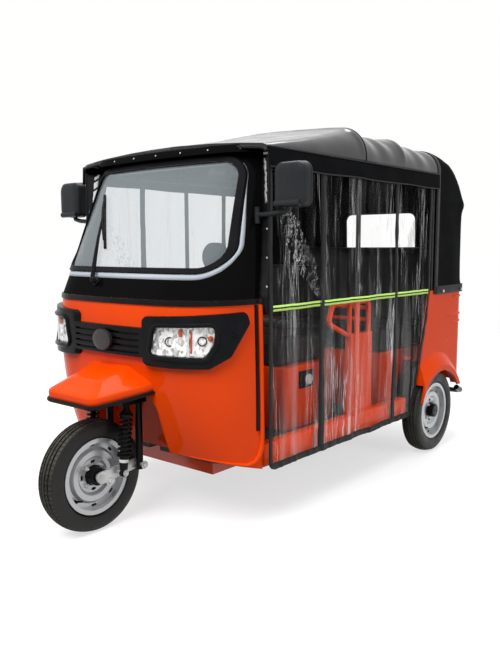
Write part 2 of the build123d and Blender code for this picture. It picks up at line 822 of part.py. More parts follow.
def tub_block(inset):
    """Solid of the tub's plan with rounded rear corners, drawn in by inset."""
    half = tub_half_width - inset
    back = aft(tub_back - inset)
    with BuildPart() as solid:
        with BuildSketch(Plane.XY.offset(floor_top)) as plan:
            with BuildLine():
                Polyline((half, aft(panel_front_low - 200)), (half, back), (-half, back),
                         (-half, aft(panel_front_low - 200)), close=True)
            make_face()
            fillet(plan.vertices().group_by(Axis.Y)[-1], tub_corner - inset)
        extrude(amount=tub_top - floor_top)
    return solid.part


def arch_rod(side, start, end, radius, mode):
    """Round bar across the vehicle on the wheel arch's own centre."""
    rod((side * start, aft(arch_aft), arch_height), (side * end, aft(arch_aft), arch_height), radius, mode)


front_edge = outline_prism(SIDE, [
    (aft(panel_front_top), tub_top + 10),
    (aft(panel_front_low), floor_top - 10),
    (aft(panel_front_low - 300), floor_top - 10),
    (aft(panel_front_low - 300), tub_top + 10),
], 0, cowl_reach)
rear_low = outline_prism(SIDE, [
    (aft(arch_aft), floor_top - 10),
    (aft(arch_aft), tub_low),
    (aft(tub_back + 50), tub_low),
    (aft(tub_back + 50), floor_top - 10),
], 0, cowl_reach)
tub_outer = tub_block(0)
tub_inner = tub_block(tub_wall)
for side, name in ((1, "rear_side_left"), (-1, "rear_side_right")):
    flare_foot = arch_radius + arch_lip + flare_width
    flare_face = arch_radius + flare_face_width
    lip_start = tub_half_width + flare_depth - flare_lip
    with BuildPart() as rear_side:
        add(tub_outer)
        add(tub_inner, mode=Mode.SUBTRACT)
        with BuildSketch(Plane(origin=(side * (tub_half_width - 4), aft(arch_aft), arch_height),
                               z_dir=(side, 0, 0))):
            Circle(flare_foot)
        with BuildSketch(Plane(origin=(side * (tub_half_width + flare_depth), aft(arch_aft), arch_height),
                               z_dir=(side, 0, 0))):
            Circle(flare_face)
        loft()
        arch_rod(side, tub_half_width - 60, lip_start, arch_radius + arch_lip, Mode.SUBTRACT)
        arch_rod(side, tub_half_width - 60, tub_half_width + flare_depth + 20, arch_radius, Mode.SUBTRACT)
        add(front_edge, mode=Mode.SUBTRACT)
        add(rear_low, mode=Mode.SUBTRACT)
        block((-cowl_reach, aft(panel_front_low - 300), -200), (cowl_reach, aft(tub_back + 50), floor_top),
              Mode.SUBTRACT)
        inner, outer = sorted((side * side_break, side * cowl_reach))
        block((inner, aft(panel_front_low - 300), -200), (outer, aft(tub_back + 50), tub_top),
              Mode.INTERSECT)
    save(rear_side.part, name)

lid_half_width = 300
lid_low = 430
lid_high = 800
lid_gap = 5
hinge_out = 10
hinge_height = lid_high + 6
hinge_radius = 5
barrel_radius = 9
hinge_places = [-200, 200]
barrel_half = 20
lug_width = 12
leaf_length = 40
leaf_out = 5
panel_face = aft(tub_back)
hinge_y = panel_face + hinge_out
with BuildPart() as back_panel:
    block((-side_break + fit_gap, aft(tub_back - tub_wall), tub_low),
          (side_break - fit_gap, panel_face, tub_top))
    block((-lid_half_width, aft(tub_back - 50), lid_low), (lid_half_width, aft(tub_back + 50), lid_high),
          Mode.SUBTRACT)
    for place in hinge_places:
        rod((place - barrel_half - lug_width, hinge_y, hinge_height),
            (place + barrel_half + lug_width, hinge_y,
            hinge_height), hinge_radius)
        for start in (place - barrel_half - lug_width, place + barrel_half + fit_gap):
            block((start, panel_face - 2, hinge_height - 6),
                  (start + lug_width - fit_gap, hinge_y + 6, hinge_height + 6))
save(back_panel.part, "back_panel")

with BuildPart() as engine_lid:
    block((-lid_half_width + lid_gap, aft(tub_back - tub_wall), lid_low + lid_gap),
          (lid_half_width - lid_gap, panel_face, lid_high - lid_gap))
    for place in hinge_places:
        block((place - barrel_half, panel_face - 2, lid_high - leaf_length),
              (place + barrel_half, panel_face + leaf_out, lid_high - lid_gap))
        block((place - barrel_half, panel_face + face_gap, lid_high - leaf_length),
              (place + barrel_half, panel_face + leaf_out, hinge_height))
        rod((place - barrel_half, hinge_y, hinge_height), (place + barrel_half, hinge_y, hinge_height),
            barrel_radius)
        rod((place - barrel_half - 5, hinge_y, hinge_height),
            (place + barrel_half + 5, hinge_y, hinge_height),
            hinge_radius + fit_gap, Mode.SUBTRACT)
save(engine_lid.part, "engine_lid")

# Tail lamps on the flat of the tub's back
lamp_inner = 436
lamp_outer = tub_half_width - tub_corner
with BuildPart() as tail_lamps:
    block((lamp_inner, panel_face + fit_gap, 700), (lamp_outer, panel_face + 26, 880))
    fillet(tail_lamps.faces().sort_by(Axis.Y)[-1].edges(), 10)
    mirror(about=Plane.YZ)
save(tail_lamps.part, "tail_lamps")

# Driver's seat: box, fuel filler on its left side, cushion and backrest
with BuildPart() as seat_box:
    block((-box_half_width, aft(box_front), floor_top), (box_half_width, aft(box_back), box_top))
    block((-box_half_width + panel_wall, aft(box_front + panel_wall), 0),
          (box_half_width - panel_wall, aft(box_back - panel_wall), box_top - panel_wall), Mode.SUBTRACT)
save(seat_box.part, "seat_box")

filler_aft = 1100
filler_height = 540
filler_plate = 5
cap_radius = 25
cap_length = 28
with BuildPart() as fuel_filler:
    block((box_half_width + fit_gap, aft(filler_aft - 60), filler_height - 45),
          (box_half_width + filler_plate, aft(filler_aft + 60), filler_height + 45))
    rod((box_half_width + filler_plate - 1, aft(filler_aft), filler_height),
        (box_half_width + filler_plate + cap_length, aft(filler_aft), filler_height), cap_radius)
save(fuel_filler.part, "fuel_filler")

post_back = 1425
loop_tube = 13
cross_tube = 11
rest_back = post_back - loop_tube - cross_tube - fit_gap
rest_front = bench_front + 560
Pad = namedtuple("Pad", "name half_width front back low high soft")
pads = [
    Pad(name="driver_cushion", half_width=340, front=905, back=1340, low=box_top + fit_gap, high=765,
        soft=45),
    Pad(name="driver_backrest", half_width=330, front=1343, back=rest_back, low=800, high=1130, soft=24),
    Pad(name="bench_cushion", half_width=520, front=bench_front - 25, back=rest_front - 5,
        low=bench_top + fit_gap, high=760, soft=50),
    Pad(name="bench_backrest", half_width=540, front=rest_front, back=rest_front + 130,
        low=bench_top + fit_gap, high=1230, soft=50),
]
for row in pads:
    with BuildPart() as pad:
        block((-row.half_width, aft(row.front), row.low), (row.half_width, aft(row.back), row.high))
        fillet(pad.edges().filter_by(Axis.X).group_by(Axis.Z)[-1], row.soft)
        fillet(pad.edges().filter_by(Axis.Z), row.soft / 2)
    save(pad.part, row.name)

# Partition: an upright panel with a grab loop on each side, joined by two cross tubes behind the driver
post_side = 534
post_half = 16
post_front = 1210
post_top = 770
loop_front = 1025
loop_top = 932
loop_drop = 40
with BuildPart() as partition_frame:
    for side in (1, -1):
        middle = side * post_side
        block((middle - post_half, aft(post_front), sill_height + fit_gap),
              (middle + post_half, aft(post_back), post_top))
        bent_tube([(middle, aft(post_back - loop_tube), post_top - 20),
                   (middle, aft(post_back - loop_tube), loop_top),
                   (middle, aft(loop_front + 40), loop_top), (middle, aft(loop_front), loop_top - 90),
                   (middle, aft(post_front + loop_tube), post_top - 10)], 34, loop_tube)
        rod((middle, aft(post_front + loop_tube), post_top - 30),
            (middle, aft(post_front + loop_tube), loop_top),
            cross_tube)
    for height in (post_top + 60, loop_top - loop_drop):
        rod((-post_side, aft(post_back - loop_tube), height),
            (post_side, aft(post_back - loop_tube), height),
            cross_tube)
save(partition_frame.part, "partition_frame")

# Floor mat: a rubber sheet on the floor between the posts and the bench
mat_half_width = 500
mat_thickness = 5
mat_margin = 6
with BuildPart() as floor_mat:
    block((-mat_half_width, aft(post_back + mat_margin), floor_top),
          (mat_half_width, aft(bench_front - mat_margin), floor_top + mat_thickness))
save(floor_mat.part, "floor_mat")


# Canopy: a fabric roof over the hoops, and a rear part that closes the quarters and the back
def hoop_section(row, inset):
    """Draws one cross section of the roof, drawn in by inset, on its own upright plane."""
    half = canopy_half(row.aft) - inset
    top = row.crown - inset
    with BuildSketch(Plane.XZ.offset(-aft(row.aft))) as section:
        with BuildLine():
            ThreePointArc((half, top - crown_rise), (0, top), (-half, top - crown_rise))
            Polyline((-half, top - crown_rise), (-half, eave_height), (half, eave_height),
                     (half, top - crown_rise))
        make_face()
        fillet(section.vertices().group_by(Axis.Y)[-1], row.shoulder - inset)
    return section.sketch


def roof_block(inset):
    """Solid under the roof's skin, drawn in by inset."""
    sections = [hoop_section(row, inset) for row in hoops]
    with BuildPart() as lofted:
        loft(sections, ruled=True)
    return lofted.part


with BuildPart() as canopy_roof:
    add(roof_block(0))
    add(roof_block(fabric), mode=Mode.SUBTRACT)
save(canopy_roof.part, "canopy_roof")

rear_crown = hoops[-1].crown
rear_shoulder = hoops[-1].shoulder
back_bulge = tub_back + 14
back_top = tub_back - 21
back_round = 300
over_crown = 40
window_half_width = 275
window_low = 1153
window_high = 1440
window_corner = 55
rear_start = quarter_front + face_gap


def rear_block(inset):
    """Solid under the canopy's rear: common to a side, an end and a plan outline, drawn in by inset."""
    half = canopy_half_width - inset
    top = rear_crown - inset
    with BuildPart() as solid:
        with BuildSketch(SIDE) as profile:
            with BuildLine():
                Polyline((aft(rear_start), hem_height), (aft(rear_start), top + over_crown),
                         (aft(back_top - inset), top + over_crown), (aft(back_bulge - inset), hem_height),
                         close=True)
            make_face()
            fillet(profile.vertices().group_by(Axis.Y)[-1].sort_by(Axis.X)[-1], back_round - inset)
        extrude(amount=cowl_reach, both=True)
        with BuildSketch(Plane.XZ.offset(-aft(rear_start))) as section:
            with BuildLine():
                ThreePointArc((half, top - crown_rise), (0, top), (-half, top - crown_rise))
                Polyline((-half, top - crown_rise), (-half, hem_height), (half, hem_height),
                         (half, top - crown_rise))
            make_face()
            fillet(section.vertices().group_by(Axis.Y)[-1], rear_shoulder - inset)
        extrude(amount=-cowl_reach, mode=Mode.INTERSECT)
        with BuildSketch(Plane.XY.offset(hem_height)) as plan:
            with BuildLine():
                Polyline((half + face_gap, aft(rear_start - over_crown)),
                         (half + face_gap, aft(back_bulge - inset)),
                         (-half - face_gap, aft(back_bulge - inset)),
                         (-half - face_gap, aft(rear_start - over_crown)),
                         close=True)
            make_face()
            fillet(plan.vertices().group_by(Axis.Y)[-1], tub_corner + fabric - inset)
        extrude(amount=rear_crown, mode=Mode.INTERSECT)
    return solid.part


def window_prism(grow):
    """Prism of the rear window's outline through the canopy's back."""
    half = window_half_width + grow
    points = [(half, window_low - grow), (half, window_high + grow), (-half, window_high + grow),
              (-half, window_low - grow)]
    return outline_prism(Plane.XZ.offset(-aft(tub_back)), points, window_corner + grow, 150)


with BuildPart() as canopy_rear:
    add(rear_block(0))
    add(rear_block(fabric), mode=Mode.SUBTRACT)
    add(window_prism(0), mode=Mode.SUBTRACT)
save(canopy_rear.part, "canopy_rear")

film = 2
with BuildPart() as rear_window:
    add(rear_block(film))
    add(rear_block(2 * film), mode=Mode.SUBTRACT)
    add(window_prism(-fit_gap), mode=Mode.INTERSECT)
save(rear_window.part, "rear_window")

# Canopy frame: hoops of tube on two side rails, with legs at the middle and the rear hoop
tube = 12
curtain_thickness = 4
rail_height = eave_height + 30
frame_inset = fabric + curtain_thickness + face_gap + fit_gap + tube
hoop_drop = 5
hoop_bend = 105
pillar_slope = (pillar_top_aft - door_front) / (screen_top - belt_height)
front_tube_aft = door_front + pillar_slope * (rail_height + tube - belt_height) + tube + 2 * face_gap
leg_feet = {leg_hoop: sill_height + fit_gap, quarter_front: tub_top + fit_gap}


def rail_side_at(distance):
    """Side place of the canopy's rails at a distance behind the front axle."""
    return canopy_half(distance) - frame_inset


with BuildPart() as canopy_frame:
    for row in hoops[1:]:
        middle = row.aft - tube - face_gap
        x = rail_side_at(middle)
        top = row.crown - frame_inset - hoop_drop
        foot = leg_feet.get(row.aft, rail_height)
        bent_tube([(x, aft(middle), foot), (x, aft(middle), top - crown_rise), (0, aft(middle), top),
                   (-x, aft(middle), top - crown_rise), (-x, aft(middle), foot)], hoop_bend, tube)
    rail_end = quarter_front - tube - face_gap
    front_x = rail_side_at(front_tube_aft)
    for side in (1, -1):
        rod((side * front_x, aft(front_tube_aft), rail_height),
            (side * rail_side_at(rail_end), aft(rail_end), rail_height), tube - 1)
    rod((-front_x - tube, aft(front_tube_aft), rail_height),
        (front_x + tube, aft(front_tube_aft), rail_height), tube)
save(canopy_frame.part, "canopy_frame")

# Side curtains: clear sheets that hang from the side rails to below the sills
curtain_low_front = 275
curtain_low_rear = 255
curtain_edge_gap = 6
wheel_clearance = 14
curtain_turn = atan2(canopy_taper, quarter_front - door_front)


def along_curtain(distance):
    """Length along a curtain to a place this far behind the front axle."""
    return (distance - door_front) / cos(curtain_turn)


for side, name in ((1, "curtain_left"), (-1, "curtain_right")):
    along = Vector(side * sin(curtain_turn), cos(curtain_turn), 0)
    start_x = rail_side_at(door_front) + tube + fit_gap + curtain_thickness / 2
    hang = Plane(origin=(side * start_x, aft(door_front), 0), x_dir=along,
                 z_dir=along.cross(Vector(0, 0, 1)))
    curtain_top = rail_height + tube
    front = along_curtain(door_front + curtain_edge_gap)
    front_top = along_curtain(front_tube_aft - tube)
    rear_top = along_curtain(panel_front_top - curtain_edge_gap)
    rear_low_edge = along_curtain(wheelbase - tyre_radius - wheel_clearance)
    with BuildPart() as curtain:
        with BuildSketch(hang):
            with BuildLine():
                Polyline((front, curtain_low_front), (front, belt_height), (front_top, curtain_top),
                         (rear_top, curtain_top), (rear_top, tub_top), (rear_low_edge, curtain_low_rear),
                         close=True)
            make_face()
        extrude(amount=curtain_thickness / 2, both=True)
    save(curtain.part, name)
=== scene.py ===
"""Looks of an auto rickshaw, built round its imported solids.

Frame: metres, +X to the vehicle's left, +Y to the rear, +Z up, origin on the ground at the middle of its box.
Lengthwise places named aft are measured behind the front axle.
"""

import json
from math import atan2, ceil, cos, exp, pi, radians, sin, sqrt, tan

import bmesh
import bpy
from mathutils import Matrix, Vector, noise
from mathutils.bvhtree import BVHTree


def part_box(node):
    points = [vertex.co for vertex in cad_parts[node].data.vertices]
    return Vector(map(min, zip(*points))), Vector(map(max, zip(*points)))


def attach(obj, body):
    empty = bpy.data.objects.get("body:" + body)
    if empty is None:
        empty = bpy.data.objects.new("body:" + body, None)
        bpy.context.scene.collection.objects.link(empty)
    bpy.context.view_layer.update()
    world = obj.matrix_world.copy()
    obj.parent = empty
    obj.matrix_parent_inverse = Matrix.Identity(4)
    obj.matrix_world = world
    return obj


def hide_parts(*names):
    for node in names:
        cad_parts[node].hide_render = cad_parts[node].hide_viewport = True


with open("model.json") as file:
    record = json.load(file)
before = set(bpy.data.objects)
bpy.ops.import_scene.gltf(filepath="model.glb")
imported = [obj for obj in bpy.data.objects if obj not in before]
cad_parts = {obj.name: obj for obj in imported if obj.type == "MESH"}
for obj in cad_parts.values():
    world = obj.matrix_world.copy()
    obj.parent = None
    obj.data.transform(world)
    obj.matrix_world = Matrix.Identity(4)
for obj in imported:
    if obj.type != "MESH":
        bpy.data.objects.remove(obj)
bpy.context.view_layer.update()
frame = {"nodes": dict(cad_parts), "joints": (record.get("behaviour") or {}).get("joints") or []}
nodes = frame["nodes"]
joints = {joint["name"]: joint for joint in frame["joints"]}
front_axle = Vector(joints["front_spin"]["pos_m"])
rear_axle = Vector(joints["rear_spin_left"]["pos_m"])
SIDES = (1, -1)
SIDE_NAMES = {1: "left", -1: "right"}


def at(x, aft, height):
    """Point in the shared frame, its lengthwise place measured behind the front axle."""
    return Vector((x, front_axle.y + aft, height))


def span(low, high, count):
    """Evenly spaced values from low to high, both included."""
    return [low + (high - low) * i / (count - 1) for i in range(count)]


def ease(value):
    """Smooth step of a value clamped to 0..1."""
    value = min(max(value, 0.0), 1.0)
    return value * value * (3 - 2 * value)


def bell(value):
    """Bell curve, 1 at its middle."""
    return exp(-value * value)


def on_side(point, side):
    """The left side's point, or its mirror image."""
    return Vector((side * point.x, point.y, point.z))


def table(rows, place):
    """Value at a place, read linearly from (place, value) rows."""
    for (low, a), (high, b) in zip(rows, rows[1:]):
        if place <= high:
            return a + (b - a) * max(0.0, place - low) / (high - low)
    return rows[-1][1]


# Materials


def material(name, colour, roughness, metallic=0.0, sockets=None):
    """Material with a principled shader, its constant values on the shader's own sockets."""
    made = bpy.data.materials.new(name)
    made.use_nodes = True
    shader = made.node_tree.nodes["Principled BSDF"]
    shader.inputs["Base Color"].default_value = (*colour, 1)
    shader.inputs["Roughness"].default_value = roughness
    shader.inputs["Metallic"].default_value = metallic
    for socket, value in (sockets or {}).items():
        shader.inputs[socket].default_value = value
    return made


def texture(made, kind, scale, stretch=(1, 1, 1), **values):
    """Texture node in object space, its space stretched by axis."""
    tree = made.node_tree
    place = tree.nodes.new("ShaderNodeTexCoord")
    turn = tree.nodes.new("ShaderNodeMapping")
    turn.inputs["Scale"].default_value = stretch
    pattern = tree.nodes.new(kind)
    pattern.inputs["Scale"].default_value = scale
    for socket, value in values.items():
        pattern.inputs[socket].default_value = value
    tree.links.new(place.outputs["Object"], turn.inputs["Vector"])
    tree.links.new(turn.outputs["Vector"], pattern.inputs["Vector"])
    return pattern


def first_output(pattern):
    """A texture's plain value output."""
    for name in ("Fac", "Factor", "Distance"):
        if name in pattern.outputs:
            return pattern.outputs[name]
    return pattern.outputs[0]


def remap(made, source, low, high, start=0.0, end=1.0):
    """Node that maps source from low..high to start..end."""
    node = made.node_tree.nodes.new("ShaderNodeMapRange")
    for socket, value in (("From Min", low), ("From Max", high), ("To Min", start), ("To Max", end)):
        node.inputs[socket].default_value = value
    made.node_tree.links.new(source, node.inputs["Value"])
    return node.outputs["Result"]


def combine(owner, operation, first, second=None):
    """Math on one or two values, each a number or another node's output."""
    node = owner.node_tree.nodes.new("ShaderNodeMath")
    node.operation = operation
    for socket, value in zip(node.inputs, (first, second)):
        if isinstance(value, float):
            socket.default_value = value
        elif value is not None:
            owner.node_tree.links.new(value, socket)
    return node.outputs["Value"]


def along_axis(made, axis):
    """Place along an axis in object space."""
    tree = made.node_tree
    place = tree.nodes.new("ShaderNodeTexCoord")
    split = tree.nodes.new("ShaderNodeSeparateXYZ")
    tree.links.new(place.outputs["Object"], split.inputs["Vector"])
    return split.outputs[axis]


def vary_colour(made, source, low_colour, high_colour, low=0.35, high=0.65):
    """Colour that runs from one tone to another by a pattern."""
    tree = made.node_tree
    ramp = tree.nodes.new("ShaderNodeValToRGB")
    ramp.color_ramp.elements[0].position = low
    ramp.color_ramp.elements[1].position = high
    ramp.color_ramp.elements[0].color = (*low_colour, 1)
    ramp.color_ramp.elements[1].color = (*high_colour, 1)
    tree.links.new(source, ramp.inputs["Fac"])
    tree.links.new(ramp.outputs["Color"], tree.nodes["Principled BSDF"].inputs["Base Color"])


def vary(made, socket, source, low, high, start=0.3, end=0.7):
    """Shader socket that runs from low to high by a pattern."""
    tree = made.node_tree
    tree.links.new(remap(made, source, start, end, low, high), tree.nodes["Principled BSDF"].inputs[socket])


def bump(made, source, strength, distance, rounding=0.0):
    """Fine relief from a pattern, with edges rounded in shading by the given radius."""
    tree = made.node_tree
    node = tree.nodes.new("ShaderNodeBump")
    node.inputs["Strength"].default_value = strength
    node.inputs["Distance"].default_value = distance
    tree.links.new(source, node.inputs["Height"])
    if rounding:
        edge = tree.nodes.new("ShaderNodeBevel")
        edge.samples = 4
        edge.inputs["Radius"].default_value = rounding
        tree.links.new(edge.outputs["Normal"], node.inputs["Normal"])
    tree.links.new(node.outputs["Normal"], tree.nodes["Principled BSDF"].inputs["Normal"])


def painted(name, colour, shade, roughness, rounding=0.003, coat=0.16, shine=0.02):
    """Gloss paint with a clear coat, a slight orange-peel and a little tone and dust."""
    made = material(name, colour, roughness,
                    sockets={"Coat Weight": coat, "Coat Roughness": 0.03, "Specular IOR Level": shine})
    tone = texture(made, "ShaderNodeTexNoise", 3.0, Detail=4.0)
    vary_colour(made, first_output(tone), shade, colour)
    dust = texture(made, "ShaderNodeTexNoise", 22.0, Detail=6.0)
    vary(made, "Roughness", first_output(dust), roughness, roughness + 0.10)
    peel = texture(made, "ShaderNodeTexNoise", 260.0, Detail=1.0)
    bump(made, first_output(peel), 0.035, 0.0006, rounding)
    return made


def reflector_with_painted_reflections():
    """Lamp reflector whose facets carry a painted reflection: cell by cell its colour runs from dark to
    light, standing in for what each facet mirrors.
    """
    made = material("reflector", (0.95, 0.95, 0.93), 0.14, 0.30)
    cells = texture(made, "ShaderNodeTexVoronoi", 105.0, (1, 1, 0.55))
    # Painted reflection: each cell gets its own brightness, as if it mirrored a lighter or darker part of the
    # surroundings.
    vary_colour(made, cells.outputs["Color"], (0.36, 0.35, 0.34), (1.0, 0.99, 0.97), 0.15, 0.60)
    return made


def two_tone_paint(name, axis, border, lower, upper, coat):
    """Paint that changes colour at a place along an axis."""
    made = material(name, upper, 0.25, sockets={"Coat Weight": coat, "Coat Roughness": 0.03})
    vary_colour(made, along_axis(made, axis), lower, upper, border - 0.001, border + 0.001)
    return made


def grained(name, colour, shade, roughness, scale, strength, shine=0.3, rounding=0.0, coat=0.0):
    """Moulded or coated surface with a fine grain."""
    sockets = {"Specular IOR Level": shine, "Coat Weight": coat, "Coat Roughness": 0.15}
    made = material(name, colour, roughness, sockets=sockets)
    tone = texture(made, "ShaderNodeTexNoise", 9.0, Detail=5.0)
    vary_colour(made, first_output(tone), shade, colour)
    vary(made, "Roughness", first_output(tone), roughness - 0.06, roughness + 0.08)
    grain = texture(made, "ShaderNodeTexVoronoi", scale)
    bump(made, grain.outputs["Distance"], strength, 0.0008, rounding)
    return made


def metal(name, colour, roughness, scale=60.0, metallic=1.0):
    """Metal or metallic paint with a fine uneven finish."""
    made = material(name, colour, roughness, metallic)
    cloud = texture(made, "ShaderNodeTexNoise", scale, Detail=5.0)
    dark = tuple(0.8 * channel for channel in colour)
    vary_colour(made, first_output(cloud), dark, colour)
    vary(made, "Roughness", first_output(cloud), roughness * 0.8, roughness * 1.3)
    fine = texture(made, "ShaderNodeTexNoise", 700.0, Detail=2.0)
    bump(made, first_output(fine), 0.05, 0.0004, 0.0015)
    return made


def clear(name, colour, roughness, facing_alpha, edge_alpha):
    """See-through sheet with a pale cover that stands in for its reflection: a painted reflection that grows
    towards its edge-on parts.
    """
    made = material(name, colour, roughness, sockets={"IOR": 1.5})
    tree = made.node_tree
    weight = tree.nodes.new("ShaderNodeLayerWeight")
    weight.inputs["Blend"].default_value = 0.35
    alpha = remap(made, weight.outputs["Facing"], 0.1, 0.95, facing_alpha, edge_alpha)
    tree.links.new(alpha, tree.nodes["Principled BSDF"].inputs["Alpha"])
    return made


def film_material(name, cover, haze, stretch=(10, 26, 1.1), bare=0.46):
    """Clear plastic film: thin whitish lines in patches that stand in for the glints on its creases (painted
    highlights), and a haze that fades with height, partly the film's own haze and partly painted reflection.
    """
    made = material(name, (0.93, 0.94, 0.93), 0.10, sockets={"IOR": 1.45})
    tree = made.node_tree
    flow = texture(made, "ShaderNodeTexNoise", 1.0, stretch, Detail=4.0, Roughness=0.60, Distortion=0.6)
    # Painted highlights: thin lines where the stretched noise crosses its middle, standing in for glints on
    # the creases.
    folded = combine(made, "ABSOLUTE", combine(made, "SUBTRACT", first_output(flow), 0.5))
    lines = remap(made, folded, 0.0, 0.030, cover, 0.0)
    patch = texture(made, "ShaderNodeTexNoise", 1.0, (5, 9, 1.3), Detail=2.0)
    shown = remap(made, first_output(patch), bare, bare + 0.22)
    creases = combine(made, "MULTIPLY", lines, shown)
    # Haze, partly the film's own and partly painted reflection, strongest low down.
    cloud = texture(made, "ShaderNodeTexNoise", 1.0, (6, 13, 0.8), Detail=4.0, Distortion=0.4)
    broad = remap(made, first_output(cloud), 0.44, 0.78, 0.02, haze)
    fading = remap(made, along_axis(made, "Z"), 0.70, 1.05, 1.0, 0.15)
    total = combine(made, "ADD", creases, combine(made, "MULTIPLY", broad, fading))
    tree.links.new(total, tree.nodes["Principled BSDF"].inputs["Alpha"])
    ripple = texture(made, "ShaderNodeTexNoise", 1.0, (14, 60, 3.5), Detail=4.0, Distortion=1.0)
    bump(made, first_output(ripple), 0.6, 0.014)
    return made


def tyre_material():
    """Tyre rubber, dusted brown where it rolls."""
    made = material("tyre", (0.010, 0.010, 0.010), 0.60, sockets={"Specular IOR Level": 0.3})
    dust = texture(made, "ShaderNodeTexNoise", 30.0, Detail=6.0)
    vary_colour(made, first_output(dust), (0.004, 0.004, 0.004), (0.011, 0.0105, 0.009))
    vary(made, "Roughness", first_output(dust), 0.38, 0.62)
    fine = texture(made, "ShaderNodeTexNoise", 500.0, Detail=2.0)
    bump(made, first_output(fine), 0.15, 0.0006)
    return made


orange_colour = (0.72, 0.054, 0.001)
black_colour = (0.0030, 0.0031, 0.0034)
leg_paint_top = 0.955
front_paint_end = front_axle.y + 0.50
orange = painted("orange_paint", orange_colour, (0.69, 0.049, 0.001), 0.18)
gloss_black = painted("black_paint", black_colour, (0.0022, 0.0022, 0.0025), 0.12, coat=0.06, shine=0.0)
two_tone = two_tone_paint("frame_paint", "Z", leg_paint_top, orange_colour, black_colour, 0.1)
chassis_paint = two_tone_paint("chassis_paint", "Y", front_paint_end, orange_colour, black_colour, 0.0)
satin_black = grained("fork_black", (0.007, 0.007, 0.0075), (0.004, 0.004, 0.004), 0.36, 600.0, 0.05, 0.10,
                      0.002)
plastic = grained("black_plastic", (0.006, 0.0065, 0.007), (0.004, 0.004, 0.005), 0.26, 900.0, 0.06, 0.08,
                  0.004)
rubber = grained("rubber", (0.008, 0.008, 0.009), (0.005, 0.005, 0.006), 0.46, 300.0, 0.06, 0.08, 0.002)
vinyl = grained("vinyl_canopy", (0.008, 0.0085, 0.009), (0.005, 0.005, 0.006), 0.18, 420.0, 0.05, 0.2,
                coat=0.5)
# Canopy vinyl for the valances and the back: a darker copy of the roof's vinyl with little gloss; its darker
# colour is painted shade.
shaded_side_vinyl = grained("vinyl_sides_painted_shade", (0.006, 0.0065, 0.007), (0.004, 0.004, 0.005), 0.24, 420.0, 0.05, 0.0,
                     coat=0.05)
seat_vinyl = grained("seat_vinyl", (0.016, 0.016, 0.017), (0.010, 0.010, 0.011), 0.40, 500.0, 0.22, 0.15)
webbing = grained("webbing", (0.006, 0.006, 0.007), (0.004, 0.004, 0.004), 0.55, 900.0, 0.25, 0.25)
mat_rubber = grained("mat_rubber", (0.045, 0.045, 0.045), (0.025, 0.025, 0.025), 0.70, 200.0, 0.2)
silver = material("silver_paint", (0.44, 0.45, 0.46), 0.24, 0.5,
                  sockets={"Coat Weight": 0.3, "Coat Roughness": 0.05})
zinc = metal("zinc", (0.58, 0.59, 0.58), 0.36, 25.0, metallic=0.5)
reflector = reflector_with_painted_reflections()
chrome = metal("chrome", (0.86, 0.87, 0.88), 0.07, 12.0)
cast = metal("cast_metal", (0.34, 0.34, 0.35), 0.5, 40.0)
mirror_glass = material("mirror_glass", (0.82, 0.84, 0.86), 0.02, 1.0)
# Screen glass and lamp lens: their pale cover is painted reflection, stronger edge-on.
glass = clear("screen_glass", (0.29, 0.33, 0.35), 0.03, 0.25, 0.42)
lens = clear("lamp_lens", (0.86, 0.88, 0.90), 0.02, 0.03, 0.25)
# Film finishes: their crease lines are painted highlights, fewer on the far curtain.
film = film_material("clear_film", 0.60, 0.24)
far_film = film_material("clear_film_right", 0.16, 0.20)
crushed_film = film_material("crushed_film", 0.50, 0.10, (30, 34, 9), 0.30)
# Black plastic for the mirror housings, made lighter than the other black plastic: painted light on housings
# that face the light.
mirror_plastic_painted_light = grained("mirror_plastic_painted_light", (0.017, 0.019, 0.021), (0.013, 0.014, 0.016), 0.36, 900.0, 0.06,
                         0.15, 0.004)
tyre_rubber = tyre_material()
tread_dust = grained("tread_dust", (0.060, 0.056, 0.046), (0.024, 0.023, 0.020), 0.80, 500.0, 0.15, 0.2)
red_lens = painted("red_lens", (0.42, 0.008, 0.006), (0.30, 0.004, 0.004), 0.08, 0.002)
amber = painted("amber_lens", (0.62, 0.10, 0.01), (0.50, 0.06, 0.006), 0.10, 0.001)
# Pale grey for the lip round the screen: painted reflection of the bright surroundings on the black frame's
# lip.
band_painted_reflection = painted("screen_band_painted_reflection", (0.42, 0.45, 0.49), (0.36, 0.39, 0.43), 0.12, 0.001)
lime = grained("lime_tape", (0.60, 0.90, 0.20), (0.52, 0.82, 0.15), 0.5, 900.0, 0.08)
white_blank = grained("blank_label", (0.72, 0.72, 0.70), (0.62, 0.62, 0.60), 0.5, 500.0, 0.03)
dark_disc = grained("blank_disc", (0.030, 0.027, 0.024), (0.024, 0.022, 0.020), 0.40, 800.0, 0.06)


# Mesh tools


def placed(name, data):
    """New object in the scene."""
    made = bpy.data.objects.new(name, data)
    bpy.context.scene.collection.objects.link(made)
    return made


def bevelled(form, width, angle):
    """Rounds the edges of a mesh that are sharper than an angle in degrees."""
    edges = [edge for edge in form.edges if edge.is_manifold and edge.calc_face_angle(0) > radians(angle)]
    bmesh.ops.bevel(form, geom=edges, offset=width, segments=3, profile=0.5, affect="EDGES",
                    clamp_overlap=True)


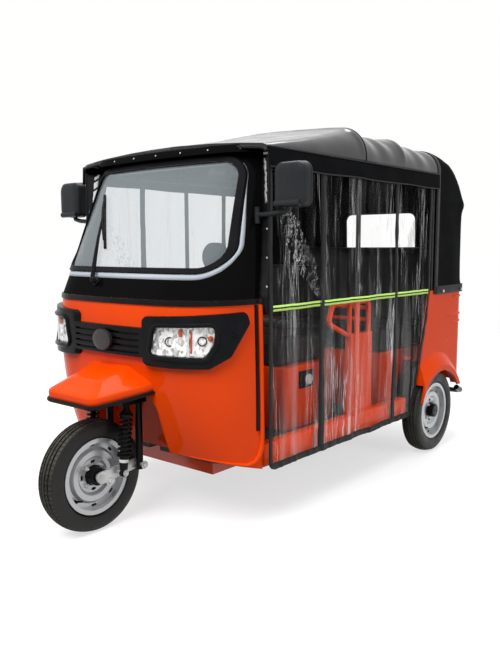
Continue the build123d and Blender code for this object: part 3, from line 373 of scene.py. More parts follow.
class Shape:
    """Points and faces of one piece, gathered from simple surfaces, each with its material's number."""

    def __init__(self):
        self.points = []
        self.faces = []
        self.marks = []

    def add(self, points, faces, mark=0):
        start = len(self.points)
        self.points.extend(Vector(point) for point in points)
        for face in faces:
            self.faces.append([start + index for index in face])
            self.marks.append(mark)
        return self

    def grid(self, rows, ring=False, around=False, mark=0):
        """Quads between rows of points; ring joins each row's ends, around joins last row to first."""
        count = len(rows[0])
        faces = []
        row_total = len(rows) if around else len(rows) - 1
        for i in range(row_total):
            j = (i + 1) % len(rows)
            for k in range(count if ring else count - 1):
                n = (k + 1) % count
                faces.append((i * count + k, i * count + n, j * count + n, j * count + k))
        return self.add([point for row in rows for point in row], faces, mark)

    def cap(self, row, mark=0):
        """Fan over a closed row of points."""
        middle = sum((Vector(point) for point in row), Vector()) / len(row)
        count = len(row)
        return self.add([*row, middle], [(k, (k + 1) % count, count) for k in range(count)], mark)

    def tube(self, path, radius, sides=12, closed=False, mark=0, flat=1.0):
        """Round or flattened bar along a path, its ends capped."""
        path = [Vector(point) for point in path]
        count = len(path)
        rows = []
        across = None
        for i, point in enumerate(path):
            if closed:
                along = (path[(i + 1) % count] - path[i - 1]).normalized()
            else:
                along = (path[min(i + 1, count - 1)] - path[max(i - 1, 0)]).normalized()
            if across is None:
                guide = Vector((0, 0, 1)) if abs(along.z) < 0.9 else Vector((0, 1, 0))
                across = along.cross(guide)
            across = (across - along * across.dot(along)).normalized()
            other = along.cross(across)
            size = radius[i] if isinstance(radius, (list, tuple)) else radius
            rows.append([point + size * (cos(turn) * across + flat * sin(turn) * other)
                         for turn in span(0, 2 * pi, sides + 1)[:-1]])
        self.grid(rows, ring=True, around=closed, mark=mark)
        if not closed:
            self.cap(rows[0], mark)
            self.cap(rows[-1], mark)
        return self

    def turned(self, centre, axis, profile, steps=48, mark=0):
        """Surface of revolution: profile rows are (along the axis, radius)."""
        axis = Vector(axis).normalized()
        guide = Vector((0, 0, 1)) if abs(axis.z) < 0.9 else Vector((0, 1, 0))
        across = axis.cross(guide).normalized()
        other = axis.cross(across)
        rows = []
        for along, radius in profile:
            rows.append([Vector(centre) + along * axis + radius * (cos(turn) * across + sin(turn) * other)
                         for turn in span(0, 2 * pi, steps + 1)[:-1]])
        return self.grid(rows, ring=True, mark=mark)

    def block(self, low, high, mark=0):
        """Plain box, to be rounded by a bevel."""
        (a, b, c), (d, e, f) = low, high
        points = [(x, y, z) for x in (a, d) for y in (b, e) for z in (c, f)]
        faces = [(0, 1, 3, 2), (4, 6, 7, 5), (0, 4, 5, 1), (2, 3, 7, 6), (0, 2, 6, 4), (1, 5, 7, 3)]
        return self.add(points, faces, mark)

    def piece(self, name, materials, body="chassis", slot=None, nodes=(), smooth=40, bevel=0.0, thick=0.0,
              merge=1e-5):
        """Finished object that rides on a body."""
        mesh = bpy.data.meshes.new(name)
        mesh.from_pydata([tuple(point) for point in self.points], [], self.faces)
        made = placed(name, mesh)
        for entry in materials if isinstance(materials, (list, tuple)) else [materials]:
            mesh.materials.append(entry)
        for polygon, mark in zip(mesh.polygons, self.marks):
            polygon.material_index = mark
        clean = bmesh.new()
        clean.from_mesh(mesh)
        if merge:
            bmesh.ops.remove_doubles(clean, verts=clean.verts, dist=merge)
        bmesh.ops.recalc_face_normals(clean, faces=clean.faces)
        if bevel:
            bevelled(clean, bevel, 35)
        clean.to_mesh(mesh)
        clean.free()
        if thick:
            wall = made.modifiers.new("thickness", "SOLIDIFY")
            wall.thickness = thick
            wall.offset = -1
        finish_piece(made, body, nodes, smooth)
        return made


def finish_piece(made, body, replaced, smooth):
    """Smooth shading with creases kept, and the piece's place in the model."""
    for polygon in made.data.polygons:
        polygon.use_smooth = True
    made.data.set_sharp_from_angle(angle=radians(smooth))
    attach(made, body)
    if replaced:
        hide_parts(*replaced)
    return made


def rounded(points, radius, steps=6):
    """Closed outline in two coordinates with its corners rounded."""
    made = []
    count = len(points)
    sizes = radius if isinstance(radius, (list, tuple)) else [radius] * count
    for i, corner in enumerate(points):
        corner = Vector(corner)
        back = (Vector(points[i - 1]) - corner)
        ahead = (Vector(points[(i + 1) % count]) - corner)
        half = back.angle(ahead) / 2
        reach = min(sizes[i] / tan(half), 0.48 * back.length, 0.48 * ahead.length)
        size = reach * tan(half)
        start = corner + reach * back.normalized()
        end = corner + reach * ahead.normalized()
        middle = corner + (back.normalized() + ahead.normalized()).normalized() * size / sin(half)
        for share in span(0, 1, steps):
            spoke = (start - middle).lerp(end - middle, share)
            made.append(middle + spoke.normalized() * size)
    return made


def rectangle(low, high):
    """Corners of a box seen from the front, as (x, z)."""
    return [(low.x, low.z), (high.x, low.z), (high.x, high.z), (low.x, high.z)]


def resampled(points, count, closed=True):
    """Points at even steps along an outline or a path."""
    ends = [*points, points[0]] if closed else list(points)
    lengths = [0.0]
    for a, b in zip(ends, ends[1:]):
        lengths.append(lengths[-1] + (b - a).length)
    made = []
    j = 0
    for goal in span(0, lengths[-1], count + 1)[:-1] if closed else span(0, lengths[-1], count):
        while j < len(ends) - 2 and lengths[j + 1] < goal:
            j += 1
        gap = max(lengths[j + 1] - lengths[j], 1e-9)
        made.append(ends[j].lerp(ends[j + 1], (goal - lengths[j]) / gap))
    return made


def grown(points, distance):
    """Closed outline in two coordinates, moved outward along its own normals."""
    count = len(points)
    area = sum(points[i - 1].x * points[i].y - points[i].x * points[i - 1].y for i in range(count))
    turn = 1 if area > 0 else -1
    made = []
    for i, point in enumerate(points):
        along = points[(i + 1) % count] - points[i - 1]
        made.append(point + turn * distance * Vector((along.y, -along.x)).normalized())
    return made


def skin(node):
    """Search tree of a solid's surface."""
    mesh = nodes[node].data
    return BVHTree.FromPolygons([vertex.co for vertex in mesh.vertices],
                                [polygon.vertices for polygon in mesh.polygons])


def hit(tree, origin, direction):
    """First point of a surface along a ray, with its normal turned against the ray."""
    place, normal, _, _ = tree.ray_cast(Vector(origin), Vector(direction).normalized())
    if place is None:
        return None, None
    if normal.dot(Vector(direction)) > 0:
        normal = -normal
    return place, normal


def dress(node, finish):
    """Gives a solid that stays its finish."""
    solid = nodes[node]
    solid.data.materials.clear()
    solid.data.materials.append(finish)


def rounded_copy(node, finish, width, body="chassis"):
    """A solid's own form with its sharp edges rounded."""
    mesh = bpy.data.meshes.new(node + "_form")
    form = bmesh.new()
    form.from_mesh(nodes[node].data)
    bmesh.ops.remove_doubles(form, verts=form.verts, dist=2e-5)
    bmesh.ops.dissolve_limit(form, angle_limit=radians(0.05), verts=form.verts, edges=form.edges)
    bevelled(form, width, 30)
    form.to_mesh(mesh)
    form.free()
    if "custom_normal" in mesh.attributes:
        mesh.attributes.remove(mesh.attributes["custom_normal"])
    mesh.materials.clear()
    mesh.materials.append(finish)
    for polygon in mesh.polygons:
        polygon.material_index = 0
    return finish_piece(placed(node + "_form", mesh), body, (node,), 32)


# Camera and stage

camera_place = at(2.3786, -1.7956, 1.2172)
camera_yaw = radians(39.62)
camera_pitch = radians(7.13)
camera_roll = radians(-0.23)
camera_lens = 37.58


def make_camera():
    """Camera at the photograph's view."""
    data = bpy.data.cameras.new("camera")
    data.sensor_width = 36
    data.lens = camera_lens
    made = placed("camera", data)
    right = Vector((cos(camera_yaw), sin(camera_yaw), 0))
    ahead = Vector((-sin(camera_yaw) * cos(camera_pitch), cos(camera_yaw) * cos(camera_pitch),
                    -sin(camera_pitch)))
    up = right.cross(ahead)
    turn = Matrix((right, up, -ahead)).transposed().to_4x4()
    made.matrix_world = Matrix.Translation(camera_place) @ turn @ Matrix.Rotation(camera_roll, 4, "Z")
    bpy.context.scene.camera = made


def seen_directly(owner):
    """1 for camera, glossy and transmission rays, else 0."""
    path = owner.node_tree.nodes.new("ShaderNodeLightPath")
    result = path.outputs["Is Camera Ray"]
    for name in ("Is Glossy Ray", "Is Transmission Ray"):
        result = combine(owner, "MAXIMUM", result, path.outputs[name])
    return result


def make_world():
    """Pale surroundings: white where seen, a plain soft level where they light the object."""
    world = bpy.data.worlds.new("studio")
    bpy.context.scene.world = world
    world.use_nodes = True
    tree = world.node_tree
    tree.nodes.clear()
    out = tree.nodes.new("ShaderNodeOutputWorld")
    mix = tree.nodes.new("ShaderNodeMixShader")
    soft = tree.nodes.new("ShaderNodeBackground")
    soft.inputs["Color"].default_value = (0.96, 0.98, 1.0, 1)
    soft.inputs["Strength"].default_value = 0.38
    pale = tree.nodes.new("ShaderNodeBackground")
    pale.inputs["Color"].default_value = (1.0, 1.0, 0.995, 1)
    pale.inputs["Strength"].default_value = 1.0
    tree.links.new(seen_directly(world), mix.inputs["Fac"])
    tree.links.new(soft.outputs["Background"], mix.inputs[1])
    tree.links.new(pale.outputs["Background"], mix.inputs[2])
    tree.links.new(mix.outputs["Shader"], out.inputs["Surface"])


def make_floor():
    """Plain pale floor that keeps the shadow and runs out into the white surroundings."""
    size = 60
    shadow_reach = 2.6
    white_reach = 6.5
    unseen_grey = (0.24, 0.24, 0.24, 1)
    seen_grey = (0.42, 0.42, 0.42, 1)
    glow_level = 0.62
    mesh = bpy.data.meshes.new("floor")
    mesh.from_pydata([(-size, -size, 0), (size, -size, 0), (size, size, 0), (-size, size, 0)], [],
                     [(0, 1, 2, 3)])
    made = placed("floor", mesh)
    finish = bpy.data.materials.new("floor")
    finish.use_nodes = True
    tree = finish.node_tree
    tree.nodes.clear()
    out = tree.nodes.new("ShaderNodeOutputMaterial")
    plain = tree.nodes.new("ShaderNodeBsdfDiffuse")
    plain.inputs["Color"].default_value = unseen_grey
    shown = tree.nodes.new("ShaderNodeBsdfDiffuse")
    shown.inputs["Color"].default_value = seen_grey
    glow = tree.nodes.new("ShaderNodeEmission")
    glow.inputs["Strength"].default_value = glow_level
    white = tree.nodes.new("ShaderNodeEmission")
    both = tree.nodes.new("ShaderNodeAddShader")
    tree.links.new(shown.outputs["BSDF"], both.inputs[0])
    tree.links.new(glow.outputs["Emission"], both.inputs[1])
    place = tree.nodes.new("ShaderNodeTexCoord")
    distance = tree.nodes.new("ShaderNodeVectorMath")
    distance.operation = "LENGTH"
    tree.links.new(place.outputs["Object"], distance.inputs[0])
    fade = remap(finish, distance.outputs["Value"], shadow_reach, white_reach)
    near = tree.nodes.new("ShaderNodeMixShader")
    tree.links.new(fade, near.inputs["Fac"])
    tree.links.new(both.outputs["Shader"], near.inputs[1])
    tree.links.new(white.outputs["Emission"], near.inputs[2])
    mix = tree.nodes.new("ShaderNodeMixShader")
    tree.links.new(seen_directly(finish), mix.inputs["Fac"])
    tree.links.new(plain.outputs["BSDF"], mix.inputs[1])
    tree.links.new(near.outputs["Shader"], mix.inputs[2])
    tree.links.new(mix.outputs["Shader"], out.inputs["Surface"])
    mesh.materials.append(finish)


def softbox(name, place, target, size, power, mirrored=True):
    """Large soft lamp aimed at a point; gloss surfaces mirror it or not."""
    data = bpy.data.lights.new(name, "AREA")
    data.shape = "RECTANGLE"
    data.size, data.size_y = size
    data.energy = power
    made = placed(name, data)
    made.location = place
    made.rotation_euler = (Vector(target) - Vector(place)).to_track_quat("-Z", "Y").to_euler()
    made.visible_glossy = mirrored


make_camera()
make_world()
make_floor()
softbox("key", (0.8, -4.0, 4.6), (0, -0.3, 0.9), (3.0, 3.0), 330, False)
softbox("top", (-0.4, 0.8, 5.0), (0, 0.4, 0.8), (3.0, 4.0), 170)
softbox("side", (5.2, 0.3, 1.9), (0, 0.3, 0.6), (1.6, 2.6), 95, False)
softbox("right", (-5.2, 0.3, 2.2), (0, 0.3, 0.7), (1.6, 2.6), 90, False)
softbox("back", (-1.0, 6.2, 3.0), (0, 0.6, 0.7), (3.0, 2.0), 190, False)
bpy.context.scene.view_settings.view_transform = "Standard"


# Solids that stay, with their finish

plain_finishes = (
    (orange, ("front_cowl", "wheel_well", "rear_side_left", "rear_side_right", "partition_frame")),
    (satin_black, ("wheel_housings", "rear_axle", "rear_dampers", "steering_head", "handlebar", "fork")),
    (silver, ("front_rim", "rear_left_rim", "rear_right_rim")),
    (gloss_black, ("windscreen_frame",)),
    (glass, ("windscreen_glass",)),
    (rubber, ("windscreen_seal",)),
    (two_tone, ("canopy_frame",)),
    (chassis_paint, ("chassis_frame",)),
    (cast, ("engine_block",)),
    (film, ("rear_window",)),
    (mat_rubber, ("floor_pan",)),
)
for finish, names in plain_finishes:
    for node in names:
        dress(node, finish)

for node, finish, width, slot in (
    ("side_sills", orange, 0.008, "orange_paint"), ("seat_box", orange, 0.010, "orange_paint"),
    ("bench_base", orange, 0.008, "orange_paint"), ("back_panel", orange, 0.004, "orange_paint"),
    ("belt_trim", plastic, 0.0012, "black_plastic"),
    ("visor", gloss_black, 0.004, "black_paint"), ("dashboard", plastic, 0.006, "black_plastic"),
    ("steering_upright", satin_black, 0.003, "black_paint"), ("tail_lamps", red_lens, 0.006, "red_lens"),
    ("lamp_bezel", plastic, 0.009, "black_plastic"),
):
    rounded_copy(node, finish, width)
rounded_copy("engine_lid", orange, 0.004, "lid")

# Canopy: fabric over hoops, with a valance along each eave and a rear part that closes the back

roof_low, roof_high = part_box("canopy_roof")
rear_low, rear_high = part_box("canopy_rear")
roof_front = roof_low.y - front_axle.y
roof_back = roof_high.y - front_axle.y
roof_half_back = roof_high.x
roof_half_front = roof_half_back - 0.020
fabric_thick = 0.003
piping_radius = 0.0042
piping_sides = 8
crown_rise = 0.034
seam_height = 1.618
valance_low = 1.538
hoop_aft = (roof_front, 1.215, (1.215 + roof_back) / 2, roof_back)
crown_rows = list(zip(hoop_aft, (1.664, roof_high.z - 0.016, 1.800, 1.782)))
shoulder_rows = list(zip(hoop_aft, (0.040, 0.150, 0.135, 0.125)))
bay_sag = (0.012, 0.022, 0.018)
ridge_height = 0.005
ridge_reach = 0.020


def roof_half(aft):
    """Half width of the canopy at a place along it."""
    share = (aft - roof_front) / (roof_back - roof_front)
    return roof_half_front + (roof_half_back - roof_half_front) * min(share, 1.0)


def arch(half, top, corner, low, count_crown=26, count_corner=14, count_side=8):
    """Points of a half section from the crown's middle out to the side and down, as (x, z)."""
    radius = (half * half + crown_rise * crown_rise) / (2 * crown_rise)
    centre = top - radius
    corner_x = half - corner
    corner_z = centre + sqrt((radius - corner) ** 2 - corner_x ** 2)
    tangent = atan2(corner_x, corner_z - centre)
    made = [(radius * sin(turn), centre + radius * cos(turn)) for turn in span(0, tangent, count_crown)]
    made += [(corner_x + corner * sin(turn), corner_z + corner * cos(turn))
             for turn in span(tangent, pi / 2, count_corner)[1:]]
    made += [(half, height) for height in span(corner_z, low, count_side)[1:]]
    return made


def roof_sag(aft, share, side):
    """How far the fabric hangs in between hoops; share runs from 0 at the seam to 1 at the crown."""
    for number, depth in enumerate(bay_sag):
        start, end = hoop_aft[number], hoop_aft[number + 1]
        if start <= aft <= end:
            part = (aft - start) / (end - start)
            held = sin(pi * part) ** 0.8
            across = sin(pi * min(share * 1.15, 1.0)) ** 0.9 + 0.35 * ease(share)
            folds = 0.0
            if number > 0:
                wave = sin(2 * pi * (2.3 * part + 1.3 * share + 0.2 * number) + 0.5 * side)
                folds = 0.007 * wave * sin(pi * part) * sin(pi * min(share * 1.4, 1.0))
            return depth * held * across + folds
    return 0.0


def roof_row(aft, low=seam_height):
    """Full section of the roof fabric from the left seam over the crown to the right seam."""
    half = roof_half(aft)
    corner = table(shoulder_rows, aft)
    whole = [Vector(point) for point in arch(half, table(crown_rows, aft), corner, low - 0.02)]
    line = [point for point in whole if point.y > low]
    over, under = line[-1], whole[len(line)]
    line.append(over.lerp(under, (over.y - low) / (over.y - under.y)))
    line = resampled(line, 44, closed=False)
    ridge = sum(ridge_height * bell((aft - place) / ridge_reach) for place in hoop_aft[1:3])
    sides = []
    for side in SIDES:
        points = []
        for i, point in enumerate(line):
            share = 1 - i / (len(line) - 1)
            ahead = line[min(i + 1, len(line) - 1)] - line[max(i - 1, 0)]
            outward = Vector((-ahead.y, ahead.x)).normalized()
            if outward.y < 0 and point.x < 0.3:
                outward = -outward
            if outward.x < 0:
                outward = -outward
            drop = roof_sag(aft, share, side) - ridge * ease(share * 6)
            crinkle = 0.0016 * noise.noise(Vector((side * point.x * 9, aft * 9, point.y * 9)))
            moved = point - outward * (drop + crinkle)
            points.append(at(side * moved.x, aft, moved.y))
        sides.append(points)
    return sides[0][::-1] + sides[1][1:]


def make_roof():
    """Roof fabric, its valances and the piping on its seams."""
    places = []
    for start, end in zip(hoop_aft, hoop_aft[1:]):
        places += span(start, end, ceil((end - start) / 0.016))[:-1]
    places.append(roof_back)
    rows = [roof_row(aft) for aft in places]
    front_lip = [point + Vector((0, -0.004, -0.020)) for point in rows[0]]
    roof = Shape().grid([front_lip, *rows])
    made = roof.piece("canopy_roof_fabric", vinyl, slot="vinyl_canopy", nodes=("canopy_roof",), smooth=70,
                      thick=fabric_thick)
    for number, side in enumerate(SIDES):
        edge = [row[0] if number == 0 else row[-1] for row in rows]
        lines = []
        for share in span(0, 1, 9):
            line = []
            for aft, point in zip(places, edge):
                wave = 0.004 * noise.noise(Vector((aft * 6, side * 3.0, share * 0.7)))
                flare = 0.004 + 0.004 * share + wave * share
                uneven = 0.004 * share * noise.noise(Vector((aft * 4, side, 9)))
                drop = (point.z - valance_low) * share + uneven
                line.append(Vector((side * (roof_half(aft) + flare), point.y, point.z - drop)))
            lines.append(line)
        valance = Shape().grid(lines)
        name = SIDE_NAMES[side]
        valance.piece(f"valance_{name}", shaded_side_vinyl, slot="vinyl_canopy", smooth=70,
                                  thick=fabric_thick)
        seam = Shape().tube([point + Vector((side * 0.005, 0, 0.001)) for point in edge], piping_radius,
                            piping_sides)
        hem = Shape().tube(lines[-1], 0.0036, piping_sides)
        seam.piece(f"roof_piping_{name}", webbing, slot="vinyl_canopy")
        hem.piece(f"valance_hem_{name}", webbing, slot="vinyl_canopy")
    middle_row = roof_row(hoop_aft[1] + 0.012)
    hoop_seam = Shape().tube([point + Vector((0, 0, 0.002)) for point in middle_row], piping_radius,
                             piping_sides)
    hoop_seam.piece("hoop_piping", webbing, slot="vinyl_canopy")
    front_edge = [point + Vector((0, -0.005, -0.018)) for point in rows[0]]
    Shape().tube(front_edge, 0.006, piping_sides).piece("roof_front_roll", webbing,
                                                                    slot="vinyl_canopy")


rear_start = rear_low.y - front_axle.y
hem_height = rear_low.z
back_at_hem = rear_high.y - front_axle.y
back_at_top = back_at_hem - 0.035
back_round = 0.300
corner_plan = 0.100
rear_crown = crown_rows[-1][1]
window_low, window_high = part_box("rear_window")
window_corner = 0.055
pleat_height = 1.40
pleat_depth = 0.012
pleat_reach = 0.035
hem_snap_profile = ((0.006, 0.0001), (0.0055, 0.005), (0.003, 0.0085), (0, 0.009))


def back_place(height):
    """How far back the canopy's rear reaches at a height."""
    base = back_at_hem + (back_at_top - back_at_hem) * (height - hem_height) / (rear_crown - hem_height)
    over = height - (rear_crown - back_round)
    if over <= 0:
        return base
    return base - (back_round - sqrt(max(back_round ** 2 - over ** 2, 0.0)))


def rear_ring(half, height, count):
    """Plan line round the rear at one height, from the left front edge round the back to the right one."""
    back = back_place(height)
    corner = min(corner_plan + 0.16 * ease((height - 1.45) / 0.3), 0.9 * half, 0.9 * (back - rear_start))
    quarter = [Vector((half, rear_start)), Vector((half, back - corner))]
    quarter += [Vector((half - corner + corner * cos(turn), back - corner + corner * sin(turn)))
                for turn in span(0, pi / 2, 12)[1:]]
    quarter.append(Vector((0, back)))
    left = resampled(quarter, count, closed=False)
    return left + [Vector((-point.x, point.y)) for point in left[-2::-1]]


def rear_fold(point, height, side):
    """Soft folds of the rear fabric, deepest near the upper corners."""
    corner = ease((point.y - rear_start) / 0.3)
    upright = 0.006 * sin(15 * point.y + 3 * height) * corner * ease((1.62 - height) / 0.3)
    drape = 0.010 * noise.noise(Vector((point.x * 3.2, point.y * 5.5, height * 2.6)))
    pleat = -pleat_depth * bell((height - pleat_height - 0.10 * side * point.x) / pleat_reach) * corner
    return (upright + drape) * ease((height - hem_height) / 0.08) + pleat


def make_rear():
    """Rear fabric with its window opening, hem band and piping."""
    count = 46
    line = arch(roof_half_back, rear_crown, 0.125, hem_height, 22, 14, 46)
    rows = []
    for half, height in line[1:]:
        ring = rear_ring(half, height, count)
        row = []
        for i, point in enumerate(ring):
            ahead = ring[min(i + 1, len(ring) - 1)] - ring[max(i - 1, 0)]
            outward = Vector((ahead.y, -ahead.x)).normalized()
            if outward.dot(point - Vector((0, rear_start))) < 0:
                outward = -outward
            side = 1 if point.x > 0 else -1
            inside_window = abs(point.x) < 0.34 and 1.10 < height < 1.48 and point.y > rear_start + 0.3
            fold = 0.0 if inside_window else rear_fold(point, height, side)
            edge = ease(min(i, len(ring) - 1 - i) / 4)
            moved = point - outward * (0.004 + fold * edge if height < 1.70 else 0.004)
            row.append(at(moved.x, moved.y, height))
        rows.append(row)
    cover = Shape().grid(rows)
    opening = resampled(rounded(rectangle(window_low, window_high), window_corner), 96)

    def inside(x, z):
        """True where a point of the back lies in the window's opening."""
        away_x = max(abs(x) - (window_high.x - window_corner), 0)
        middle = (window_low.z + window_high.z) / 2
        away_z = max(abs(z - middle) - ((window_high.z - window_low.z) / 2 - window_corner), 0)
        return away_x * away_x + away_z * away_z < window_corner ** 2

    def away(point):
        """Level direction from the middle of the rear's plan."""
        return Vector((point.x, point.y - front_axle.y - rear_start - 0.1, 0)).normalized()

    kept = []
    cut = set()
    for face in cover.faces:
        middle = sum((cover.points[index] for index in face), Vector()) / 4
        if middle.y > front_axle.y + back_at_top - 0.05 and inside(middle.x, middle.z):
            cut.update(face)
        else:
            kept.append(face)
    used = {index for face in kept for index in face}
    for index in cut & used:
        place = cover.points[index]
        near = min(opening, key=lambda point: (point.x - place.x) ** 2 + (point.y - place.z) ** 2)
        cover.points[index] = Vector((near.x, place.y, near.y))
    cover.faces = kept
    cover.marks = [0] * len(kept)
    made = cover.piece("canopy_rear_fabric", shaded_side_vinyl, slot="vinyl_canopy", nodes=("canopy_rear",),
                       smooth=70,
                       thick=fabric_thick)
    border = [[at(point.x, back_place(point.y) + proud, point.y) for point in grown(opening, size)]
              for size, proud in ((-0.012, -0.002), (-0.012, 0.003), (0.018, 0.003), (0.018, -0.003))]
    frame_band = Shape().grid(border, ring=True, around=True)
    frame_band.piece("rear_window_border", webbing, slot="vinyl_canopy")
    band = [[point + Vector((0, 0, lift)) + 0.005 * away(point) for point in rows[-1]]
            for lift in span(-0.004, 0.044, 4)]
    Shape().grid(band).piece("canopy_hem", webbing, slot="vinyl_canopy", thick=0.004)
    snaps = Shape()
    for i in range(4, len(rows[-1]), 11):
        base = band[1][i]
        snaps.turned(base + 0.004 * away(base), away(base), hem_snap_profile, 16)
    snaps.piece("hem_snaps", zinc, slot="steel")
    for side in SIDES:
        edge = [row[0] if side > 0 else row[-1] for row in rows if row[0].z < 1.76]
        lap = [[point + Vector((side * 0.004, shift, 0)) for point in edge] for shift in (-0.022, 0.0,
                                                                                          0.022)]
        name = f"quarter_binding_{SIDE_NAMES[side]}"
        Shape().grid(lap).piece(name, webbing, slot="vinyl_canopy", thick=fabric_thick)


make_roof()
make_rear()


# Side curtains: clear film with bound edges, two straps and a marker stripe

curtain_straps = (0.870, 1.560)
strap_width = 0.036
binding_width = 0.024
stripe_rows = ((0.943, 0.952, 0), (0.952, 0.959, 1), (0.959, 0.968, 0))
film_steps = 0.011
strap_steps = 0.02
corner_round = 0.045
band_proud = 0.003
hem_width = 0.030
flap_high = 1.585
flap_low = 0.975
track_low = 1.39
stud_profile = ((0, 0.0048), (0.0024, 0.0044), (0.0036, 0.0026), (0.0040, 0.0001))
hole_profile = ((0.0005, 0.0045), (0.0018, 0.0040), (0.0019, 0.0001))


class Curtain:
    """One side's curtain: its outline from the solid, its wrinkles from smooth noise."""

    def __init__(self, side):
        self.side = side
        self.name = SIDE_NAMES[side]
        node = nodes[f"curtain_{self.name}"]
        points = [vertex.co for vertex in node.data.vertices]
        self.front = min(point.y for point in points) - front_axle.y
        self.back = max(point.y for point in points) - front_axle.y
        self.top = max(point.z for point in points)
        self.low = min(point.z for point in points)
        low_points = [point.y for point in points if point.z < self.low + 0.03]
        self.low_back = max(low_points) - front_axle.y
        knees = sorted({round(point.z, 3) for point in points if point.y > self.back + front_axle.y - 0.01})
        self.knee = knees[0]
        near_front = [abs(point.x) for point in points if point.y - front_axle.y < self.front + 0.05]
        near_back = [abs(point.x) for point in points if point.y - front_axle.y > self.back - 0.05]
        self.x_front = max(near_front)
        self.x_back = max(near_back)

    def back_edge(self, height):
        """Where the curtain ends at a height."""
        if height >= self.knee:
            return self.back
        return self.low_back + (self.back - self.low_back) * (height - self.low) / (self.knee - self.low)

    def front_edge(self, height):
        """Where the curtain starts at a height: round at its lower corner."""
        share = min(max((self.low + corner_round - height) / corner_round, 0), 1)
        return self.front + corner_round * (1 - sqrt(1 - share * share))

    def point(self, aft, height, proud=0.0):
        """Point of the hung film."""
        share = (aft - self.front) / (self.back - self.front)
        base = self.x_front + (self.x_back - self.x_front) * share
        seed = 7.0 * self.side
        fall = ease((self.top - height) / 0.25)
        broad = 0.010 * noise.noise(Vector((aft * 7 + 0.8 * height, height * 1.1, seed)))
        fine = 0.006 * noise.noise(Vector((aft * 24 + 0.5 * height, height * 2.2, seed + 5)))
        crush = 0.004 * noise.noise(Vector((aft * 50, height * 12, seed + 9)))
        slack = 0.012 * sin(pi * min(max((self.top - height) / (self.top - self.low), 0), 1))
        out = base - 0.002 + proud + fall * (broad + fine + crush) + slack * 0.4
        return at(self.side * out, aft, height)

    def rows(self, spans, count, proud=0.0):
        """Rows of points on the film, one row for each (height, start, end)."""
        return [[self.point(aft, height, proud) for aft in span(start, end, count)] for height, start,
                end in spans]

    def make_gather(self):
        """Crumpled fold of spare film that runs down across the first bay."""
        start = Vector((self.front + 0.06, 1.38))
        end = Vector((curtain_straps[0] - 0.03, 1.00))
        rows = []
        for along in span(0, 1, 70):
            middle = start.lerp(end, along)
            width = 0.030 + 0.055 * sin(pi * min(along * 0.9 + 0.08, 1)) ** 0.8
            row = []
            for across in span(-1, 1, 26):
                place = middle + across * width * Vector((0.62, 0.42))
                seed = Vector((along * 16, across * 2.6, 4.0 * self.side))
                crumple = 0.011 * noise.noise(seed) + 0.006 * noise.noise(2.7 * seed)
                lift = 0.010 + 0.016 * (1 - across * across) + crumple
                row.append(self.point(place.x, place.y, lift))
            rows.append(row)
        shape = Shape().grid(rows)
        return shape.piece(f"curtain_{self.name}_gather", crushed_film, slot="clear_film", smooth=25)

    def make_flap(self):
        """Strip that closes the gap between the curtain's front edge and the pillar, with its snaps."""
        pillar = skin("windscreen_frame")
        rows = []
        pale = []
        snaps = Shape()
        for number, height in enumerate(span(flap_high, flap_low, 42)):
            inner = None
            for aft in span(self.front + 0.12, self.front - 0.10, 45):
                inner, _ = hit(pillar, at(self.side * 1.0, aft, height), (-self.side, 0, 0))
                if inner:
                    break
            if inner is None:
                continue
            outer = self.point(self.front + 0.004, height, 0.0)
            inner = inner + Vector((self.side * 0.002, -0.012, 0))
            row = [inner.lerp(outer, share) for share in span(0, 1, 5)]
            row[2] += Vector((self.side * 0.004, 0, 0))
            rows.append(row)
            axis = Vector((self.side, -0.6, 0)).normalized()
            if height > track_low:
                pale.append([point + 0.0035 * axis for point in row[1:4]])
            elif number % 8 == 4:
                snaps.turned(row[3], axis, stud_profile, 16)
        name = f"curtain_{self.name}"
        strip = Shape().grid(rows).piece(f"{name}_flap", webbing, slot="vinyl_canopy", smooth=70,
                                         thick=0.002)
        studs = snaps.piece(f"{name}_snaps", zinc, slot="steel")
        track = Shape().grid(pale).piece(f"{name}_track", white_blank, slot="steel", smooth=70, thick=0.001)
        holes = Shape()
        for row in pale[1::3]:
            holes.turned(row[1], axis, hole_profile, 14)
        marks = holes.piece(f"{name}_track_holes", rubber, slot="rubber")
        return [strip, studs, track, marks]

    def make(self):
        """Film, straps, bindings and stripe."""
        name = f"curtain_{self.name}"
        length = self.back - self.front
        drop = self.top - self.low
        heights = span(self.top, self.low, ceil(drop / film_steps))
        count = ceil(length / film_steps)
        sheet = Shape().grid(self.rows([(h, self.front_edge(h), self.back_edge(h)) for h in heights],
                                       count))
        finish = film if self.side > 0 else far_film
        made = sheet.piece(f"{name}_film", finish, slot="clear_film", nodes=(name,), smooth=80)
        gather = self.make_gather()
        flap = self.make_flap()
        straps = Shape()
        strap_heights = span(self.top, self.low, ceil(drop / strap_steps))
        for middle in curtain_straps:
            ends = (middle - strap_width / 2, middle + strap_width / 2)
            straps.grid(self.rows([(h, *ends) for h in strap_heights], 3, band_proud))
        front_spans = [(h, self.front_edge(h), self.front_edge(h) + binding_width) for h in heights]
        straps.grid(self.rows(front_spans, 3, band_proud))
        back_spans = [(h, self.back_edge(h) - binding_width, self.back_edge(h)) for h in heights[::2]]
        straps.grid(self.rows(back_spans, 3, band_proud))
        hem_spans = [(h, self.front_edge(h), self.low_back) for h in span(self.low, self.low + hem_width,
                                                                          5)]
        straps.grid(self.rows(hem_spans, count, 0.0035))
        bands = straps.piece(f"{name}_bands", webbing, slot="vinyl_canopy", smooth=80, thick=0.0025)
        stripe = Shape()
        for low, high, mark in stripe_rows:
            ends = (self.front + binding_width, self.back - 0.004)
            stripe.grid(self.rows([(low, *ends), (high, *ends)], count, 0.0022), mark=mark)
        tape = stripe.piece(f"{name}_stripe", [lime, webbing], slot="clear_film", smooth=80, thick=0.001)


